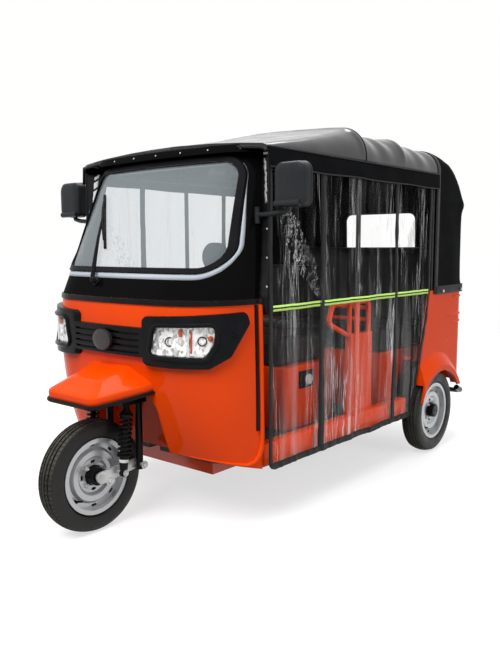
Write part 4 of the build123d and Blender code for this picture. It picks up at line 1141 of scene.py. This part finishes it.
for side in SIDES:
    Curtain(side).make()


# Wheels: ribbed road tyres on pressed rims, with nuts, hub sleeves, brake drums and valves

tyre_radius = front_axle.z
tyre_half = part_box("front_tyre")[1].x
tread_half = 0.0445
tread_drop = 0.0095
groove_places = (-0.0275, -0.0095, 0.0095, 0.0275)
groove_half = 0.0026
groove_depth = 0.0060
pitch_count = 72
pitch_columns = (0.0, 0.76, 0.80, 0.96)
sipe_depth = 0.0040
sidewall = ((0.0385, 0.1530), (0.0385, 0.1665), (0.0450, 0.1720), (0.0490, 0.1745), (0.0498, 0.1775),
            (0.0520, 0.1850), (tyre_half - 0.0004, 0.1950), (tyre_half, 0.2040), (0.0532, 0.2120),
            (0.0520, 0.2160),
            (0.0524, 0.2185), (0.0500, 0.2220), (0.0484, 0.2275), (0.0468, 0.2312))


def tread_profile():
    """Tread points across the tyre, as (sideways, radius, in a groove, on a siped rib)."""
    places = []
    for place in span(-tread_half, tread_half, 19):
        if all(abs(place - groove) > 0.0048 for groove in groove_places):
            places.append((place, False))
    for groove in groove_places:
        places += [(groove - groove_half - 0.0012, False), (groove - groove_half, True),
                   (groove + groove_half, True),
                   (groove + groove_half + 0.0012, False)]
    made = []
    for place, deep in sorted(places):
        radius = tyre_radius - tread_drop * (place / tread_half) ** 2
        ribbed = abs(place) > 0.0315 or 0.0135 < abs(place) < 0.0235
        made.append((place, radius - (groove_depth if deep else 0.0), deep, ribbed))
    return made


def make_tyre(name, centre, body):
    """One tyre, its tread cut by four grooves and by sipes in the ribs."""
    tread = tread_profile()
    lower = [(-side, radius, True, False) for side, radius in sidewall]
    upper = [(side, radius, True, False) for side, radius in reversed(sidewall)]
    profile = lower + tread + upper
    rows = []
    for pitch in range(pitch_count):
        for number, share in enumerate(pitch_columns):
            cut = number in (2, 3)
            row = []
            for side, radius, deep, ribbed in profile:
                slant = 0.12 * side / tread_half if ribbed else 0.0
                zigzag = 0.0012 if pitch % 2 and deep and abs(side) < tread_half else 0.0
                turn = 2 * pi * (pitch + share + slant) / pitch_count
                size = radius - (sipe_depth if cut and ribbed else 0.0)
                row.append(centre + Vector((side + zigzag, size * sin(turn), size * cos(turn))))
            rows.append(row)
    shape = Shape().grid(rows, ring=True, around=True)
    count = len(profile)
    on_top = [not deep and not profile[(k + 1) % count][2] for k, (_, _, deep, _) in enumerate(profile)]
    shape.marks = [1 if on_top[number % count] else 0 for number in range(len(shape.faces))]
    return shape.piece(f"{name}_tyre_tread", [tyre_rubber, tread_dust], body, "tyre", (f"{name}_tyre",),
                       smooth=28)


def hexagon(shape, place, axis, radius, height, mark=0):
    """Bolt head or nut with a chamfered top."""
    profile = ((0.0, radius), (height * 0.8, radius), (height, radius * 0.82), (height, 0.0001))
    shape.turned(place, axis, profile, 6, mark)


nut_circle = 0.0535
stud_end = ((0.010, 0.0055), (0.019, 0.0055), (0.020, 0.004), (0.020, 0.0001))
sleeve_profile = ((0.0145, 0.0440), (0.0175, 0.0440), (0.0190, 0.0400), (0.0460, 0.0388), (0.0500, 0.0386),
                  (0.0515, 0.0360), (0.0515, 0.0180))
drum_profile = ((0.003, 0.040), (0.003, 0.1425), (-0.026, 0.1425), (-0.032, 0.136), (-0.032, 0.040))
valve_turn = 3.9
valve_circle = 0.1290


def make_hub(name, centre, outside, body):
    """Nuts, hub sleeve, brake drum and valve of one wheel."""
    axis = Vector((outside, 0, 0))
    nuts = Shape()
    for number in range(4):
        turn = pi / 4 + number * pi / 2
        place = centre + axis * 0.0135 + nut_circle * Vector((0, sin(turn), cos(turn)))
        hexagon(nuts, place, axis, 0.0105, 0.012)
        nuts.turned(place, axis, stud_end, 12)
    nuts.piece(f"{name}_wheel_nuts", zinc, body, "steel", smooth=30)
    sleeve = Shape().turned(centre, axis, sleeve_profile, 40)
    sleeve.piece(f"{name}_hub_sleeve", satin_black, body, "fork_black")
    drum = Shape().turned(centre, axis, drum_profile, 48)
    drum.piece(f"{name}_brake_drum", satin_black, body, "fork_black", smooth=30)
    spoke = Vector((0, sin(valve_turn), cos(valve_turn)))
    root = centre + axis * 0.016 + valve_circle * spoke
    stem = [root, root + axis * 0.012 - 0.004 * spoke, root + axis * 0.030 - 0.008 * spoke]
    valve = Shape().tube(stem, (0.0055, 0.0048, 0.0036), 10)
    valve.piece(f"{name}_valve", rubber, body, "rubber")


wheel_rows = (
    ("front", front_axle, 1, "front_wheel"),
    ("rear_left", rear_axle, 1, "rear_wheel_left"),
    ("rear_right", on_side(rear_axle, -1), -1, "rear_wheel_right"),
)
for name, centre, outside, body in wheel_rows:
    make_tyre(name, centre, body)
    make_hub(name, centre, outside, body)


# Front suspension: coil springs on dampers, links with bolts

damper_node = [vertex.co for vertex in nodes["front_dampers"].data.vertices if vertex.co.x > 0]
damper_low = min(point.z for point in damper_node)
damper_high = max(point.z for point in damper_node)
end_depth = 0.020


def mean(points):
    """Middle of a group of points."""
    return sum(points, Vector()) / len(points)


damper_top = mean([point for point in damper_node if point.z > damper_high - end_depth])
damper_foot = mean([point for point in damper_node if point.z < damper_low + end_depth])
coil_radius = 0.0255
wire_radius = 0.0050
coil_turns = 8.5
coil_steps = 22
eye_profile = ((0, 0.007), (0, 0.014), (0.024, 0.014), (0.024, 0.007))
label_profile = ((0.050, 0.0197), (0.051, 0.0202), (0.062, 0.0202), (0.063, 0.0197))
link_bolts = ((0.0, front_axle.z, 0.0150), (0.190, 0.265, 0.0120), (0.084, 0.253, 0.0095))


def make_dampers():
    """Both front dampers: eye, body, spring seats, coil and a blank label."""
    shape = Shape()
    springs = Shape()
    labels = Shape()
    for side in SIDES:
        foot = on_side(damper_foot, side)
        top = on_side(damper_top, side)
        axis = (top - foot).normalized()
        length = (top - foot).length
        across = axis.cross(Vector((0, 1, 0))).normalized()
        other = axis.cross(across)
        shape.turned(foot - Vector((0.012, 0, 0)), (1, 0, 0), eye_profile, 24)
        body = ((0.006, 0.010), (0.020, 0.018), (0.075, 0.0195), (0.077, 0.0300), (0.082, 0.0305),
                (0.086, 0.0195),
                (length * 0.62, 0.0175), (length * 0.64, 0.0120), (length - 0.050, 0.0120),
                (length - 0.048, 0.0300),
                (length - 0.040, 0.0315), (length - 0.034, 0.0250), (length - 0.020, 0.0160),
                (length - 0.002, 0.0120))
        shape.turned(foot, axis, body, 32)
        coil = []
        for step in range(int(coil_turns * coil_steps) + 1):
            turn = 2 * pi * step / coil_steps
            along = 0.086 + (length - 0.136) * step / (coil_turns * coil_steps)
            coil.append(foot + along * axis + coil_radius * (cos(turn) * across + sin(turn) * other))
        springs.tube(coil, wire_radius, 10)
        labels.turned(foot, axis, label_profile, 32)
    shape.piece("front_damper_bodies", satin_black, "steering", "fork_black", ("front_dampers",), smooth=35)
    springs.piece("front_springs", satin_black, "steering", "fork_black")
    labels.piece("front_damper_labels", white_blank, "steering", "fork_black")


def make_link_bolts():
    """Axle nuts and link bolts on both sides."""
    shape = Shape()
    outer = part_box("front_links")[1].x - 0.001
    for side in SIDES:
        axis = Vector((side, 0, 0))
        for aft, height, radius in link_bolts:
            place = at(side * outer, aft, height)
            shape.turned(place, axis, ((0, radius * 1.45), (0.0025, radius * 1.45), (0.003, radius)), 24)
            hexagon(shape, place + 0.0025 * axis, axis, radius, radius * 0.8)
            thread = ((0.005, radius * 0.5), (radius * 1.3, radius * 0.5), (radius * 1.35, 0.0001))
            shape.turned(place, axis, thread, 12)
    shape.piece("front_link_bolts", zinc, "steering", "steel", smooth=30)


make_dampers()
make_link_bolts()
rounded_copy("front_links", zinc, 0.002, "steering")


# Front trim: lamps, blank disc, beak lip, a band round the screen coloured pale as a painted reflection,
# rivets and strips

lamp_origin = at(0.262, 0.117, 0)
lamp_turn = radians(44)
lens_corners = ((0.000, 0.776), (0.022, 0.892), (0.268, 0.896), (0.262, 0.828), (0.226, 0.772))
lens_outline = resampled(rounded(lens_corners, 0.022, 8), 96)
lens_middle = Vector((0.138, 0.834))
bowls = ((0.082, 0.834, 0.070, 0.050), (0.214, 0.838, 0.052, 0.040))
lamp_floor_gap = 0.002
flute_count = 16
flute_depth = 0.0035
divider_place = 0.158
bowl_rim = 0.014
reflector_shares = (1.0, 0.985, 0.93, 0.86, 0.78, 0.70, 0.62, 0.53, 0.44, 0.35, 0.26, 0.17, 0.08)
bulb_ring = ((0.000, 0.020), (0.004, 0.020), (0.004, 0.0150))
bulb_profile = ((0, 0.012), (0.004, 0.012), (0.005, 0.008), (0.012, 0.007), (0.014, 0.0001))
accent_bars = ((divider_place + 0.011, 0.790, 0.880, 0.004), (0.126, 0.856, 0.886, 0.007))
accent_disc = ((0, 0.011), (0.006, 0.011), (0.009, 0.007), (0.010, 0.0001))
lamp_skin = skin("headlamps")
bezel_skin = skin("lamp_bezel")
cowl_skin = skin("front_cowl")
lamp_out = Vector((sin(lamp_turn), -cos(lamp_turn), 0))
lamp_along = Vector((cos(lamp_turn), sin(lamp_turn), 0))


def lamp_point(along, height, depth=0.0, tree=lamp_skin):
    """Point behind the left lamp's face by a depth."""
    flat = lamp_origin + along * lamp_along + Vector((0, 0, height))
    place, _ = hit(tree, flat + 0.5 * lamp_out, -lamp_out)
    return (place if place else flat) - depth * lamp_out


def lamp_room(along, height):
    """Depth between a lamp's face and the cowl behind it."""
    face = lamp_point(along, height)
    floor = lamp_point(along, height, 0.0, cowl_skin)
    return max((face - floor).dot(lamp_out) - lamp_floor_gap, 0.004)


def bowl_depth(along, height):
    """Depth of the reflector: two bowls and a ridge between them."""
    depth = bowl_rim
    for middle, level, radius, deep in bowls:
        away = ((along - middle) ** 2 + (height - level) ** 2) / radius ** 2
        if away < 1:
            flutes = flute_depth * cos(flute_count * atan2(height - level, along - middle))
            depth = max(depth, bowl_rim + deep * (1 - away) + flutes * sqrt(away))
    if abs(along - divider_place) < 0.008:
        depth = 0.008
    return min(depth, lamp_room(along, height))


def make_lamps():
    """Clear lens, faceted reflector, bulbs, coloured accents and rims on both sides."""
    covers = Shape()
    mirrors = Shape()
    bulbs = Shape()
    accents = Shape()
    rims = Shape()
    for side in SIDES:
        out = on_side(lamp_out, side)
        rows = [[on_side(lamp_point(*lens_middle.lerp(point, share), -0.001),
                         side) for point in lens_outline]
                for share in span(1, 0.02, 10)]
        covers.grid(rows, ring=True)
        covers.cap(rows[-1])
        deep = []
        for share in reflector_shares:
            line = []
            for point in lens_outline[::2]:
                place = lens_middle.lerp(point, share)
                depth = bowl_depth(place.x, place.y) if share < 0.99 else 0.001
                line.append(on_side(lamp_point(place.x, place.y, depth), side))
            deep.append(line)
        mirrors.grid(deep, ring=True)
        mirrors.cap(deep[-1])
        for middle, level, _, _ in bowls:
            base = on_side(lamp_point(middle, level, bowl_depth(middle, level)), side)
            rims.turned(base, out, bulb_ring, 24, mark=1)
            bulbs.turned(base, out, bulb_profile, 20)
        for along, low, high, width in accent_bars:
            ends = [on_side(lamp_point(along, height, 0.012), side) for height in (low, high)]
            accents.tube(ends, width, 8)
        disc = on_side(lamp_point(0.248, 0.848, 0.016), side)
        accents.turned(disc, out, accent_disc, 20)
        bar = [on_side(lamp_point(divider_place, height, 0.004), side) for height in span(0.778, 0.890, 8)]
        rims.tube(bar, 0.0045, 8)
        bead = [on_side(lamp_point(*point, -0.001, bezel_skin), side) for point in grown(lens_outline,
                                                                                         0.010)]
        rims.tube(bead, 0.0085, 12, closed=True, mark=1)
    covers.piece("lamp_lenses", lens, slot="lamp_lens", nodes=("headlamps",), smooth=60)
    mirrors.piece("lamp_reflectors", reflector, slot="lamp_lens", smooth=4)
    bulbs.piece("lamp_bulbs", lens, slot="lamp_lens")
    accents.piece("lamp_accents", amber, slot="lamp_lens")
    rims.piece("lamp_rims", [chrome, plastic], slot="black_plastic")


emblem_stretch = 1.3
emblem_height = 0.822
emblem_profile = ((-0.006, 0.0450), (0.0070, 0.0450), (0.0085, 0.0435), (0.0100, 0.022), (0.0104, 0.0001))
emblem_rim = 0.0458


def make_emblem():
    """Blank disc on the grille with a thin rim."""
    place, _ = hit(bezel_skin, at(0, -0.5, emblem_height), (0, 1, 0))
    disc = Shape().turned(place, (0, -1, 0), emblem_profile, 56)
    for point in disc.points:
        point.x *= emblem_stretch
    disc.piece("emblem_disc", dark_disc, slot="black_plastic")
    ring = [place + Vector((emblem_stretch * emblem_rim * cos(turn), -0.0060, emblem_rim * sin(turn)))
            for turn in span(0, 2 * pi, 61)[:-1]]
    rim = Shape().tube(ring, 0.0015, 8, closed=True)
    rim.piece("emblem_rim", satin_black, slot="black_plastic")


screen_corners = ((-0.514, 1.118), (0.514, 1.118), (0.466, 1.586), (-0.466, 1.586))
screen_round = 0.095
screen_middle = 1.35
frame_skin = skin("windscreen_frame")
glass_skin = skin("windscreen_glass")
band_gap = 0.0125
band_low_width = 0.027
band_side_width = 0.010
band_top = 1.560


def on_frame(x, z, proud):
    """Point on the windscreen frame, seen from the front."""
    place, normal = hit(frame_skin, (x, front_axle.y - 1.0, z), (0, 1, 0))
    return place + proud * normal if place else None


def make_band():
    """Lip outside the screen's seal, wide below and narrow up the sides, coloured pale grey as a painted
    reflection on the black frame.
    """
    outline = resampled(rounded(screen_corners, screen_round, 10), 220)
    inner = grown(outline, band_gap)
    rows = [[], []]
    for base, near in zip(outline, inner):
        if base.y > band_top:
            continue
        low = ease((1.19 - base.y) / 0.09)
        width = band_side_width + (band_low_width - band_side_width) * low
        width *= ease((band_top - base.y) / 0.30)
        far = near + (near - base).normalized() * width
        a, b = on_frame(near.x, near.y, 0.0015), on_frame(far.x, far.y, 0.0015)
        if a and b:
            turn = atan2(base.x, screen_middle - base.y)
            rows[0].append((turn, a))
            rows[1].append((turn, b))
    lines = [[point for _, point in sorted(row, key=lambda entry: entry[0])] for row in rows]
    between = [a.lerp(b, 0.5) + Vector((0, -0.0025, 0.0005)) for a, b in zip(*lines)]
    band = Shape().grid([lines[0], between, lines[1]])
    band.piece("screen_band", band_painted_reflection, slot="black_paint", smooth=60, thick=0.002)


rivet_profile = ((-0.001, 0.0038), (0.001, 0.0036), (0.0020, 0.0024), (0.0024, 0.0001))
rivet_reach = 0.46


def make_rivets():
    """Rivets along the visor."""
    visor_skin = skin("visor")
    low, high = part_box("visor")
    shape = Shape()
    for x in span(-rivet_reach, rivet_reach, 7):
        place, normal = hit(visor_skin, (x, front_axle.y - 1.0, (low.z + high.z) / 2), (0, 1, 0))
        if place:
            shape.turned(place, normal, rivet_profile, 14)
    shape.piece("visor_rivets", zinc, slot="steel")


strip_high = 0.976
strip_low = 0.440
strip_aft = 0.438
strip_rows = ((-0.009, -0.001), (-0.007, 0.006), (0.007, 0.006), (0.009, -0.001))


def make_door_strips():
    """Black strip down each door edge of the cowl."""
    shape = Shape()
    for side in SIDES:
        rows = []
        for height in span(strip_high, strip_low, 24):
            row = []
            for shift, proud in strip_rows:
                place, normal = hit(cowl_skin, at(side, strip_aft + shift, height), (-side, 0, 0))
                row.append(place + normal * proud)
            rows.append(row)
        shape.grid(rows)
    shape.piece("door_edge_strips", rubber, slot="black_plastic", smooth=50, thick=0.002)


beak_front = -0.105
beak_back = 0.262
beak_rows = ((beak_front, 0.158, 0.575, 0.612, 0.636), (0.260, 0.283, 0.631, 0.668, 0.757))
beak_corner = 0.055
beak_edge = 0.008
beak_plateau = ((beak_front, 0.075), (0.260, 0.142))
beak_front_slope = 0.085


def beak_value(aft, column):
    """Half width, low edge, rim or crown of the beak at a place along it."""
    return table([(row[0], row[column]) for row in beak_rows], aft)


def soft_min(a, b, blend):
    """Smaller of two values, blended where they are close."""
    share = max(blend - abs(a - b), 0.0) / blend
    return min(a, b) - share * share * blend * 0.25


def beak_top(x, aft):
    """Height of the beak's upper skin: a flat middle panel that falls to its rim."""
    half = beak_value(aft, 1)
    plateau = table(beak_plateau, aft)
    side_rise = (half - abs(x)) / max(half - plateau, 0.001)
    front_rise = (aft - beak_front) / beak_front_slope
    rise = soft_min(soft_min(side_rise, front_rise, 0.25), 1.0, 0.12)
    return beak_value(aft, 3) + (beak_value(aft, 4) - beak_value(aft, 3)) * max(rise, 0.0)


def make_beak():
    """Mudguard beak: a smooth hood with a chamfered rim and a rubber lip under it."""
    half_front, half_back = beak_value(beak_front, 1), beak_value(beak_back, 1)
    corners = [(half_back, beak_back), (half_front, beak_front)]
    corners += [(-x, aft) for x, aft in reversed(corners)]
    outline = resampled(rounded(corners, (0.002, beak_corner, beak_corner, 0.002), 10), 200)
    spine = [Vector((point.x * 0.12, max(point.y, beak_front + 0.11) * 0.55 + 0.07)) for point in outline]
    rows = []
    for inset, rise in ((0.0, 0.0), (0.0, 0.55), (0.0, 0.80), (0.0012, 0.92), (0.0040, 0.985)):
        row = []
        for point in grown(outline, -inset):
            low, rim = beak_value(point.y, 2), beak_value(point.y, 3)
            row.append(at(point.x, point.y, low + (rim - low) * rise))
        rows.append(row)
    inner = grown(outline, -beak_edge)
    for share in span(0.08, 1.0, 22):
        row = []
        for point, goal in zip(inner, spine):
            place = point.lerp(goal, share)
            row.append(at(place.x, place.y, beak_top(place.x, place.y)))
        rows.append(row)
    hood = Shape().grid(rows, ring=True)
    hood.cap(rows[-1])
    hood.piece("beak_hood", orange, slot="orange_paint", nodes=("front_mudguard",), smooth=50, thick=0.004)
    lip = [point + Vector((0, 0, -0.004)) for point in rows[0] if point.y < at(0, beak_back - 0.012, 0).y]
    start = max(range(len(lip)), key=lambda i: (lip[i] - lip[i - 1]).length)
    lip = lip[start:] + lip[:start]
    Shape().tube(lip, 0.0085, 10).piece("beak_lip", rubber, slot="rubber", smooth=60)


flange_path = ((0.462, 0.974), (0.462, 0.70), (0.462, 0.40), (0.458, 0.360), (0.444, 0.326), (0.422, 0.303),
               (0.392, 0.296), (0.340, 0.308), (0.270, 0.327), (0.200, 0.347))
flange_radius = 0.012


def make_cowl_flange():
    """Rolled edge down each door edge of the cowl and forward along its foot."""
    shape = Shape()
    for side in SIDES:
        path = []
        for aft, height in resampled([Vector(point) for point in flange_path], 60, closed=False):
            place, normal = hit(cowl_skin, at(side * 1.0, aft, height), (-side, 0, 0))
            if place:
                path.append(place + normal * 0.002)
        sizes = [flange_radius * (1 - 0.8 * ease((share - 0.72) / 0.28)) for share in span(0, 1, len(path))]
        shape.tube(path, sizes, 12)
    shape.piece("cowl_flange", orange, slot="orange_paint", smooth=60)


recess_profile = ((-0.002, 0.0150), (0.0025, 0.0150), (0.0035, 0.0125), (0.0005, 0.0110), (0.0003, 0.0001))


def make_bezel_screws():
    """Recessed screw at the outer end of each lamp's bezel."""
    shape = Shape()
    heads = Shape()
    for side in SIDES:
        place = on_side(lamp_point(0.338, 0.862, 0.0, bezel_skin), side)
        out = on_side(lamp_out, side)
        shape.turned(place, out, recess_profile, 28)
        hexagon(heads, place, out, 0.0055, 0.003)
    shape.piece("bezel_recesses", plastic, slot="black_plastic")
    heads.piece("bezel_screws", satin_black, slot="black_plastic", smooth=30)


rib_rows = ((0.905, 0.150), (0.795, 0.235), (0.750, 0.170))
rib_end = 0.055
rib_radius = 0.0090


def make_side_ribs():
    """Short pressed ribs near the back of each rear side."""
    shape = Shape()
    for side in SIDES:
        name = f"rear_side_{SIDE_NAMES[side]}"
        panel = skin(name)
        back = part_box(name)[1].y - rib_end
        for height, length in rib_rows:
            path = []
            for y in span(back - length, back, 16):
                place, normal = hit(panel, (side * 1.0, y, height), (-side, 0, 0))
                if place:
                    path.append(place - 0.0020 * normal)
            shape.tube(path, [rib_radius * min(1, 0.3 + 3 * i / len(path)) for i in range(len(path))], 12)
    shape.piece("rear_side_ribs", orange, slot="orange_paint", smooth=60)


plate_half = 0.150
plate_rows = (0.590, 0.690)
handle_half = 0.055
plate_thick = 0.003
handle_height = 0.475
handle_reach = 0.020


def make_lid_fittings():
    """Blank number plate with its screws and a pull handle on the engine lid."""
    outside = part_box("engine_lid")[1].y + 0.1
    lid_face = hit(skin("engine_lid"), (0, outside, handle_height), (0, -1, 0))[0].y
    low, high = plate_rows
    plate = Shape().block((-plate_half, lid_face - 0.001, low), (plate_half, lid_face + plate_thick, high))
    plate.piece("number_plate", white_blank, "lid", "orange_paint", bevel=0.001)
    screws = Shape()
    for side in SIDES:
        place = Vector((side * plate_half * 0.75, lid_face + plate_thick, (low + high) / 2))
        hexagon(screws, place, Vector((0, 1, 0)), 0.005, 0.002)
    screws.piece("plate_screws", zinc, "lid", "steel", smooth=30)
    handle = Shape()
    grip = [Vector((x, lid_face + handle_reach * min(1, 4 * (1 - abs(x) / handle_half)), handle_height))
            for x in span(-handle_half, handle_half, 25)]
    handle.tube(grip, 0.006, 12)
    handle.piece("lid_handle", plastic, "lid", "black_plastic", smooth=60)


def make_tail_segments():
    """Amber and clear segments on each tail lamp."""
    low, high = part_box("tail_lamps")
    inner = min(vertex.co.x for vertex in nodes["tail_lamps"].data.vertices if vertex.co.x > 0)
    amber_parts = Shape()
    clear_parts = Shape()
    for side in SIDES:
        near, far = sorted((side * (inner + 0.006), side * (high.x - 0.006)))
        third = (high.z - low.z) / 3
        amber_parts.block((near, high.y - 0.004, high.z - third), (far, high.y + 0.0015, high.z - 0.008))
        clear_parts.block((near, high.y - 0.004, low.z + 0.008),
                          (far, high.y + 0.0015, low.z + 0.6 * third))
    amber_parts.piece("tail_amber", amber, slot="red_lens", bevel=0.001)
    clear_parts.piece("tail_clear", white_blank, slot="red_lens", bevel=0.001)


make_lid_fittings()
make_tail_segments()
make_side_ribs()
make_lamps()
make_emblem()
make_band()
make_rivets()
make_door_strips()
make_beak()
make_cowl_flange()
make_bezel_screws()


# Mirrors, fuel cap, floor mat and wiper

mirror_low = Vector((0.640, front_axle.y + 0.450, 1.372))
mirror_high = Vector((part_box("mirrors")[1].x, front_axle.y + 0.510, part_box("mirrors")[1].z))
mirror_arm_height = 1.350
mirror_layers = ((0.000, 0.30), (0.0004, 0.55), (0.0016, 0.74), (0.0042, 0.87), (0.010, 0.96),
                 (0.022, 0.99),
                 (0.045, 1.00), (0.050, 1.00), (0.053, 1.02), (0.060, 1.02), (0.060, 0.93), (0.055, 0.92))
mirror_rounds = (0.026, 0.030, 0.042, 0.036)


def make_mirrors():
    """Housing, glass, lower lip, arm and foot on both sides."""
    shells = Shape()
    glasses = Shape()
    outline = rounded(rectangle(mirror_low, mirror_high), mirror_rounds, 8)
    middle = Vector(((mirror_low.x + mirror_high.x) / 2, (mirror_low.z + mirror_high.z) / 2))
    foot, _ = hit(frame_skin, at(1.0, 0.492, mirror_arm_height), (-1, 0, 0))
    for side in SIDES:
        rows = []
        for depth, size in mirror_layers:
            row = []
            for point in outline:
                place = middle.lerp(point, size)
                row.append(Vector((side * place.x, mirror_low.y + depth, place.y)))
            rows.append(row)
        shells.grid(rows, ring=True)
        shells.cap(rows[0])
        glasses.cap([point + Vector((0, 0.0005, 0)) for point in rows[-1]])
        lip = [Vector((side * (mirror_low.x + 0.010 + share * (mirror_high.x - mirror_low.x - 0.030)),
                       mirror_low.y + 0.004, mirror_low.z + 0.012)) for share in span(0, 1, 12)]
        shells.tube(lip, 0.014, 14)
        elbow = Vector((side * (mirror_low.x + 0.045), mirror_low.y + 0.030, mirror_arm_height))
        start = Vector((side * foot.x, elbow.y, mirror_arm_height - 0.006))
        path = [start, start.lerp(elbow, 0.4), start.lerp(elbow, 0.8) + Vector((0, 0, 0.002)),
                elbow + Vector((side * 0.010, 0, 0.010)), elbow + Vector((side * 0.016, 0, 0.030))]
        shells.tube(path, (0.012, 0.011, 0.011, 0.011, 0.012), 14)
        shells.tube([start + Vector((0, 0, -0.034)), start + Vector((0, 0, 0.034))], 0.013, 14)
    shells.piece("mirror_housings", mirror_plastic_painted_light, slot="black_plastic", nodes=("mirrors",), smooth=50)
    glasses.piece("mirror_glasses", mirror_glass, slot="black_plastic")


neck_profile = ((0, 0.036), (0.008, 0.036), (0.010, 0.033), (0.010, 0.028))
cap_profile = ((0.004, 0.0275), (0.016, 0.0275), (0.019, 0.0255), (0.020, 0.0001))


def make_fuel_filler():
    """Plate with a neck and a bright cap that has a grip bar."""
    low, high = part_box("fuel_filler")
    plate = Shape().block((low.x, low.y, low.z), (low.x + 0.012, high.y, high.z))
    plate.piece("fuel_plate", plastic, slot="black_plastic", nodes=("fuel_filler",), bevel=0.005)
    centre = Vector((low.x + 0.012, (low.y + high.y) / 2 - 0.004, (low.z + high.z) / 2))
    neck = Shape().turned(centre, (1, 0, 0), neck_profile, 40)
    neck.piece("fuel_neck", satin_black, slot="black_plastic")
    cap = Shape().turned(centre, (1, 0, 0), cap_profile, 40)
    cap.tube([centre + Vector((0.020, 0, -0.020)), centre + Vector((0.020, 0, 0.020))], 0.0045, 10)
    cap.piece("fuel_cap", zinc, slot="black_plastic", smooth=35)


def make_mat():
    """Ribbed rubber mat on the floor."""
    low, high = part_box("floor_mat")
    base = Shape().block(tuple(low), (high.x, high.y, low.z + 0.0025))
    for x in span(low.x + 0.012, high.x - 0.012, 40):
        base.block((x - 0.004, low.y + 0.006, low.z + 0.002), (x + 0.004, high.y - 0.006, high.z))
    base.piece("floor_mat_ribs", mat_rubber, slot="rubber", nodes=("floor_mat",), merge=0)


make_mirrors()
make_fuel_filler()
make_mat()


wiper_spindle = (-0.130, 1.060)
blade_low = (-0.150, 1.205)
blade_high = (-0.320, 1.455)
pivot_profile = ((0, 0.017), (0.008, 0.017), (0.010, 0.0125), (0.030, 0.0115), (0.034, 0.008),
                 (0.035, 0.0001))
arm_lifts = ((0.0, 0.028), (0.3, 0.033), (0.65, 0.033), (1.0, 0.028))


def off_screen(place, lift):
    """Point off the windscreen or its frame at a side place and height."""
    x, z = place
    for tree in (frame_skin, glass_skin):
        base, normal = hit(tree, (x, front_axle.y - 1.0, z), (0, 1, 0))
        if base:
            return base + lift * normal
    return None


def make_wiper():
    """Pivot, tapered arm, bridge and rubber blade."""
    low, high = Vector(blade_low), Vector(blade_high)
    middle = low.lerp(high, 0.5)
    pivot = Vector(wiper_spindle)
    shape = Shape()
    base = off_screen(pivot, 0.0)
    out = (off_screen(pivot, 0.01) - base).normalized()
    shape.turned(base, out, pivot_profile, 24)
    arm = [off_screen(pivot.lerp(middle, share), lift) for share, lift in arm_lifts]
    shape.tube(arm, (0.0105, 0.0095, 0.0075, 0.0055), 12, flat=0.6)
    bridge = [off_screen(low.lerp(high, share), 0.018 + 0.008 * sin(pi * (share - 0.14) / 0.72))
              for share in span(0.14, 0.86, 14)]
    shape.tube(bridge, 0.0060, 10)
    blade = [off_screen(low.lerp(high, share), 0.0125) for share in span(0, 1, 20)]
    shape.tube(blade, 0.0070, 10)
    shape.piece("wiper_arm_and_blade", plastic, slot="black_plastic", nodes=("wiper",), smooth=50)


make_wiper()


# Seats: stuffed pads with channels

seat_rows = (
    ("driver_cushion", 0.016, (0.0,)),
    ("driver_backrest", 0.010, (-0.11, 0.11)),
    ("bench_cushion", 0.016, (-0.26, 0.0, 0.26)),
    ("bench_backrest", 0.014, (-0.27, 0.0, 0.27)),
)
pad_voxel = 0.012
pad_frames = 20
pad_pressure = 4.0
channel_width = 0.010
channel_depth = 0.006
pad_margin = 0.0005


def swell(made, limit):
    """Blows a pad up as sewn cloth for a short time and keeps each point near its start."""
    before = [vertex.co.copy() for vertex in made.data.vertices]
    cloth = made.modifiers.new("stuffing", "CLOTH")
    cloth.settings.use_pressure = True
    cloth.settings.uniform_pressure_force = pad_pressure
    cloth.settings.quality = 4
    cloth.settings.effector_weights.gravity = 0
    scene = bpy.context.scene
    for step in range(1, pad_frames + 1):
        scene.frame_set(step)
    shown = made.evaluated_get(bpy.context.evaluated_depsgraph_get())
    after = [vertex.co.copy() for vertex in shown.data.vertices]
    made.modifiers.remove(cloth)
    scene.frame_set(1)
    for vertex, start, end in zip(made.data.vertices, before, after):
        move = end - start
        if move.length > limit:
            move *= limit / move.length
        vertex.co = start + move


def make_pad(node, limit, channels):
    """One seat pad: its solid drawn in a little, remeshed, stuffed, then pressed into channels."""
    low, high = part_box(node)
    middle = (low + high) / 2
    shrink = Vector([1 - 2 * 0.7 * limit / size for size in high - low])
    mesh = nodes[node].data.copy()
    mesh.name = node + "_pad"
    for vertex in mesh.vertices:
        vertex.co = middle + Vector([s * v for s, v in zip(shrink, vertex.co - middle)])
    made = placed(node + "_pad", mesh)
    remesh = made.modifiers.new("remesh", "REMESH")
    remesh.mode = "VOXEL"
    remesh.voxel_size = pad_voxel
    shown = made.evaluated_get(bpy.context.evaluated_depsgraph_get())
    made.data = bpy.data.meshes.new_from_object(shown)
    made.modifiers.clear()
    swell(made, limit)
    upright = high.z - low.z > high.y - low.y
    for vertex in made.data.vertices:
        face = vertex.co.y - middle.y if upright else vertex.co.z - middle.z
        showing = -face if upright else face
        if showing > 0:
            for place in channels:
                away = (vertex.co.x - middle.x - place) / channel_width
                sink = channel_depth * bell(away)
                vertex.co -= Vector((0, -sink, 0)) if upright else Vector((0, 0, sink))
        vertex.co = Vector([min(max(value, a + pad_margin), b - pad_margin)
                            for value, a, b in zip(vertex.co, low, high)])
    made.data.materials.clear()
    made.data.materials.append(seat_vinyl)
    rounder = made.modifiers.new("smooth", "SUBSURF")
    rounder.levels = 1
    rounder.render_levels = 1
    finish_piece(made, "chassis", (node,), 80)


for node, limit, channels in seat_rows:
    make_pad(node, limit, channels)
